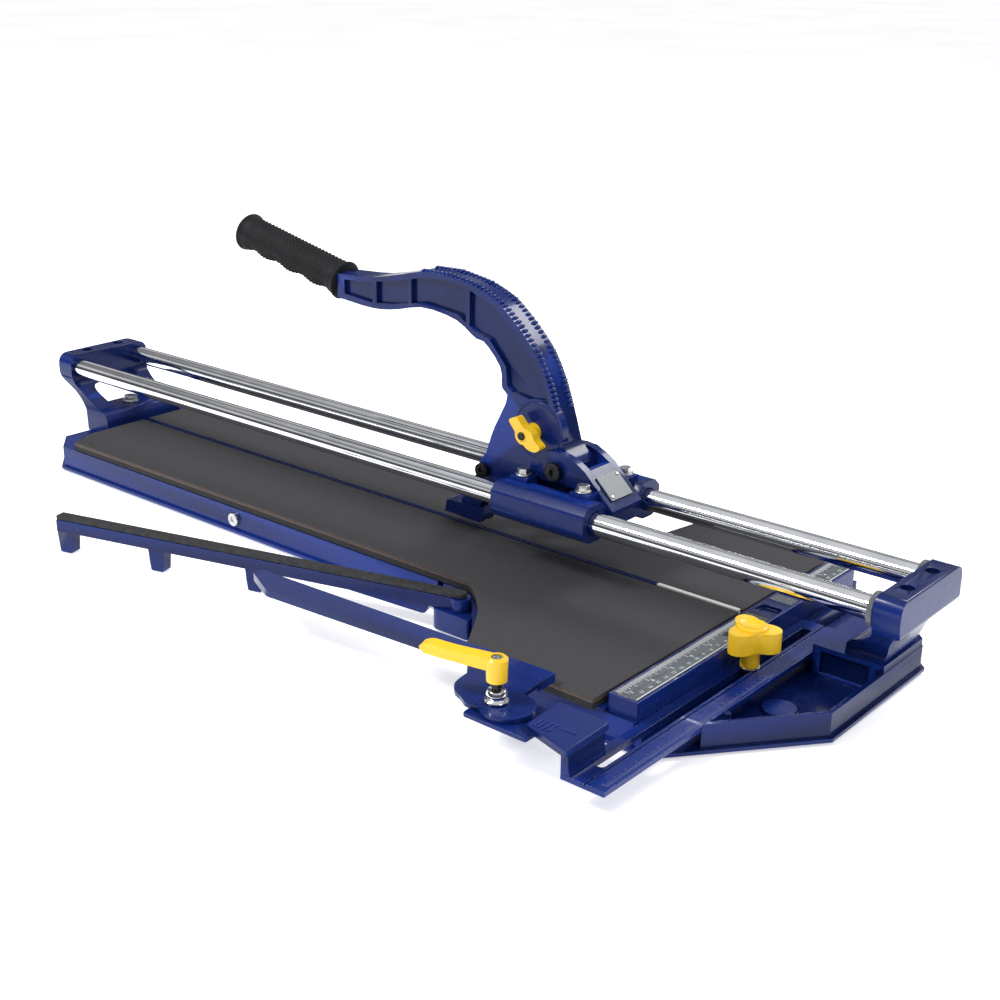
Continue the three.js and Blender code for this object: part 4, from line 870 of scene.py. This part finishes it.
class CUTTER_OT_grip(PieceOperator, bpy.types.Operator):
    """Makes the pimpled rubber grip with its finger scallops"""

    bl_idname = "cutter.grip"
    bl_label = "Grip"

    rings: bpy.props.IntProperty(name="Rings", description="Mesh rings along the grip", default=200, min=20)
    sides: bpy.props.IntProperty(name="Sides", description="Mesh sides round the grip", default=112, min=24)

    FLANGE_RISE = 2.2 * MM
    FLANGE_RUN = 7 * MM
    CORNER = 2 * MM
    SCALLOPS = 4
    SCALLOP_DEPTH = 3.0 * MM
    PIMPLE_HEIGHT = 1.0 * MM

    def build(self, context):
        low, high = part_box("handle_grip")
        tilt = GRIP_TILT
        flange = (high.y - low.y) / 2
        length = ((high.x - low.x) - 2 * flange * math.sin(tilt)) / math.cos(tilt)
        centre = (low + high) / 2
        along = Vector((-math.cos(tilt), 0, math.sin(tilt)))
        up = Vector((math.sin(tilt), 0, math.cos(tilt)))
        start = centre - along * length / 2
        start_clean()
        bpy.ops.mesh.primitive_grid_add(x_subdivisions=self.rings, y_subdivisions=self.sides, size=2)
        grip = take_new("handle_grip_finished")
        for vertex in grip.data.vertices:
            share, angle = (vertex.co.x + 1) / 2, (vertex.co.y + 1) * math.pi
            radius = self.radius_at(share, angle, flange, length)
            spot = start + along * (share * length) + up * (radius * math.cos(angle))
            vertex.co = spot + Vector((0, radius * math.sin(angle), 0))
        select_only(grip)
        bpy.ops.object.mode_set(mode="EDIT")
        bpy.ops.mesh.select_all(action="SELECT")
        bpy.ops.mesh.remove_doubles(threshold=0.01 * MM)
        bpy.ops.mesh.select_mode(type="EDGE")
        bpy.ops.mesh.select_all(action="DESELECT")
        bpy.ops.mesh.select_non_manifold()
        bpy.ops.mesh.edge_face_add()
        bpy.ops.mesh.select_all(action="SELECT")
        bpy.ops.mesh.normals_make_consistent(inside=False)
        bpy.ops.object.mode_set(mode="OBJECT")
        bpy.ops.object.shade_smooth_by_angle(angle=math.radians(50))
        finish_piece(grip, "handle", "grip", ("handle_grip",))

    def radius_at(self, share, angle, flange, length):
        """Radius of the grip: flanges at the ends, finger scallops below and rows of pimples."""
        end = min(share, 1 - share) * length
        body = flange - self.FLANGE_RISE
        radius = body
        if end < self.FLANGE_RUN:
            radius = body + (flange - body) * 0.5 * (1 + math.cos(math.pi * end / self.FLANGE_RUN))
        if end < self.CORNER:
            radius -= (self.CORNER - end) ** 2 / self.CORNER * 0.6
        below = max(0.0, -math.cos(angle))
        inside = min(1.0, max(0.0, (end - 8 * MM) / (6 * MM)))
        scallop = 0.5 * (1 - math.cos(2 * math.pi * self.SCALLOPS * share))
        radius -= inside * below * self.SCALLOP_DEPTH * scallop
        rows = round(length / sizes().knob_pitch)
        around = round(2 * math.pi * body / sizes().knob_pitch)
        wave = math.cos(2 * math.pi * rows * share) * math.cos(around * angle)
        radius += inside * self.PIMPLE_HEIGHT * (max(0.0, wave) ** 0.7 - 0.6)
        return radius


# ------------------------------------------------------------------ studio
class CUTTER_OT_studio(PieceOperator, bpy.types.Operator):
    """Lays a pale floor, soft lights and the camera"""

    bl_idname = "cutter.studio"
    bl_label = "Studio"

    azimuth: bpy.props.FloatProperty(
        name="Azimuth", description="Camera's turn from the front", subtype="ANGLE",
        default=math.radians(39.77))
    elevation: bpy.props.FloatProperty(
        name="Elevation", description="Camera's height angle", subtype="ANGLE", default=math.radians(20.56))
    roll: bpy.props.FloatProperty(
        name="Roll", description="Camera's roll", subtype="ANGLE", default=math.radians(0.74))
    lens: bpy.props.FloatProperty(
        name="Lens", description="Focal length in mm on a 36 mm sensor", default=54.22)
    floor_glow: bpy.props.FloatProperty(
        name="Floor glow", description="Light given off by the floor", default=0.5, min=0)

    def build(self, context):
        self.floor()
        self.lights(context)
        self.camera(context)

    def floor(self):
        start_clean()
        bpy.ops.mesh.primitive_plane_add(size=80, location=(0, 0, -0.5 * MM))
        floor = take_new("studio_floor")
        settle(floor)
        material, tree, shader, place = start_material(
            "Pale studio sweep", Roughness=0.9, Specular_IOR_Level=0.1)
        white = ramp_between(tree, noise(tree, place, 0.8, 2), hex_colour("fafafa"), hex_colour("ffffff"))
        tree.links.new(white, shader.inputs["Base Color"])
        tree.links.new(white, shader.inputs["Emission Color"])
        shader.inputs["Emission Strength"].default_value = self.floor_glow
        floor.data.materials.append(material)

    def lights(self, context):
        """A white surround with dark bands low down, as flags round a studio table give, and soft lamps"""
        world = bpy.data.worlds.new("Studio")
        context.scene.world = world
        world.use_nodes = True
        tree = world.node_tree
        background = tree.nodes["Background"]
        way = add_node(tree, "ShaderNodeTexCoord").outputs["Generated"]
        height = add_node(tree, "ShaderNodeSeparateXYZ", {"Vector": way}).outputs["Z"]
        bands = add_node(tree, "ShaderNodeValToRGB", {"Fac": height})
        for position, level in SURROUND_BANDS:
            stop = bands.color_ramp.elements.new(position)
            stop.color = (level, level, level * 1.03, 1)
        bands.color_ramp.elements.remove(bands.color_ramp.elements[-1])
        bands.color_ramp.elements.remove(bands.color_ramp.elements[0])
        seen = add_node(tree, "ShaderNodeLightPath").outputs["Is Camera Ray"]
        shown = add_node(
            tree, "ShaderNodeMix", {"A": bands.outputs["Color"], "B": (1, 1, 1, 1)}, data_type="RGBA")
        tree.links.new(seen, shown.inputs["Factor"])
        tree.links.new(shown.outputs["Result"], background.inputs["Color"])
        background.inputs["Strength"].default_value = 1.0
        for name, spot, size, power in LAMPS:
            light = bpy.data.lights.new(name, "AREA")
            light.shape = "DISK"
            light.size = size
            light.energy = power
            lamp = bpy.data.objects.new(name, light)
            lamp.location = spot
            lamp.rotation_euler = (-Vector(spot)).to_track_quat("-Z", "Y").to_euler()
            context.scene.collection.objects.link(lamp)

    def camera(self, context):
        az, el, roll = self.azimuth, self.elevation, self.roll
        forward = Vector((-math.sin(az) * math.cos(el), math.cos(az) * math.cos(el), -math.sin(el)))
        right = Vector((math.cos(az), math.sin(az), 0))
        up = right.cross(forward)
        right, up = right * math.cos(roll) + up * math.sin(roll), up * math.cos(roll) - right * math.sin(roll)
        lens = bpy.data.cameras.new("Camera")
        lens.lens = self.lens
        lens.sensor_width = 36
        camera = bpy.data.objects.new("Camera", lens)
        turn = Matrix((right, up, -forward)).transposed().to_4x4()
        camera.matrix_world = Matrix.Translation(CAMERA_PLACE) @ turn
        context.scene.collection.objects.link(camera)
        context.scene.camera = camera
        context.scene.view_settings.view_transform = "Standard"


# ------------------------------------------------------------------ panel and registration
class CUTTER_PT_panel(bpy.types.Panel):
    """Lists the cutter's operators"""

    bl_label = "Tile Cutter"
    bl_idname = "CUTTER_PT_panel"
    bl_space_type = "VIEW_3D"
    bl_region_type = "UI"
    bl_category = "Tile Cutter"

    def draw(self, context):
        for group in (context.scene.tile_cutter_colours, context.scene.tile_cutter_sizes):
            box = self.layout.box()
            for name in group.__annotations__:
                box.prop(group, name)
        for operator in OPERATORS:
            self.layout.operator(operator.bl_idname)


OPERATORS = (
    CUTTER_OT_castings, CUTTER_OT_boards, CUTTER_OT_rails, CUTTER_OT_scales, CUTTER_OT_cast_details,
    CUTTER_OT_hardware, CUTTER_OT_knobs, CUTTER_OT_grip, CUTTER_OT_studio)
CLASSES = (CutterColours, CutterSizes, *OPERATORS, CUTTER_PT_panel)


def register():
    for cls in CLASSES:
        bpy.utils.register_class(cls)
    bpy.types.Scene.tile_cutter_colours = bpy.props.PointerProperty(type=CutterColours)
    bpy.types.Scene.tile_cutter_sizes = bpy.props.PointerProperty(type=CutterSizes)


def unregister():
    del bpy.types.Scene.tile_cutter_sizes
    del bpy.types.Scene.tile_cutter_colours
    for cls in reversed(CLASSES):
        bpy.utils.unregister_class(cls)


def finish_carried_nodes():
    """Gives every CAD node that still shows its own finish."""
    for node, piece in frame["nodes"].items():
        for slot in piece.material_slots:
            slot.material = finish_of(SLOT_OF[node])


def build_cutter():
    register()
    finish_carried_nodes()
    for operator in OPERATORS:
        group, name = operator.bl_idname.split(".")
        getattr(getattr(bpy.ops, group), name)()
    start_clean()
    bpy.context.view_layer.update()


if __name__ == "__main__":
    build_cutter()
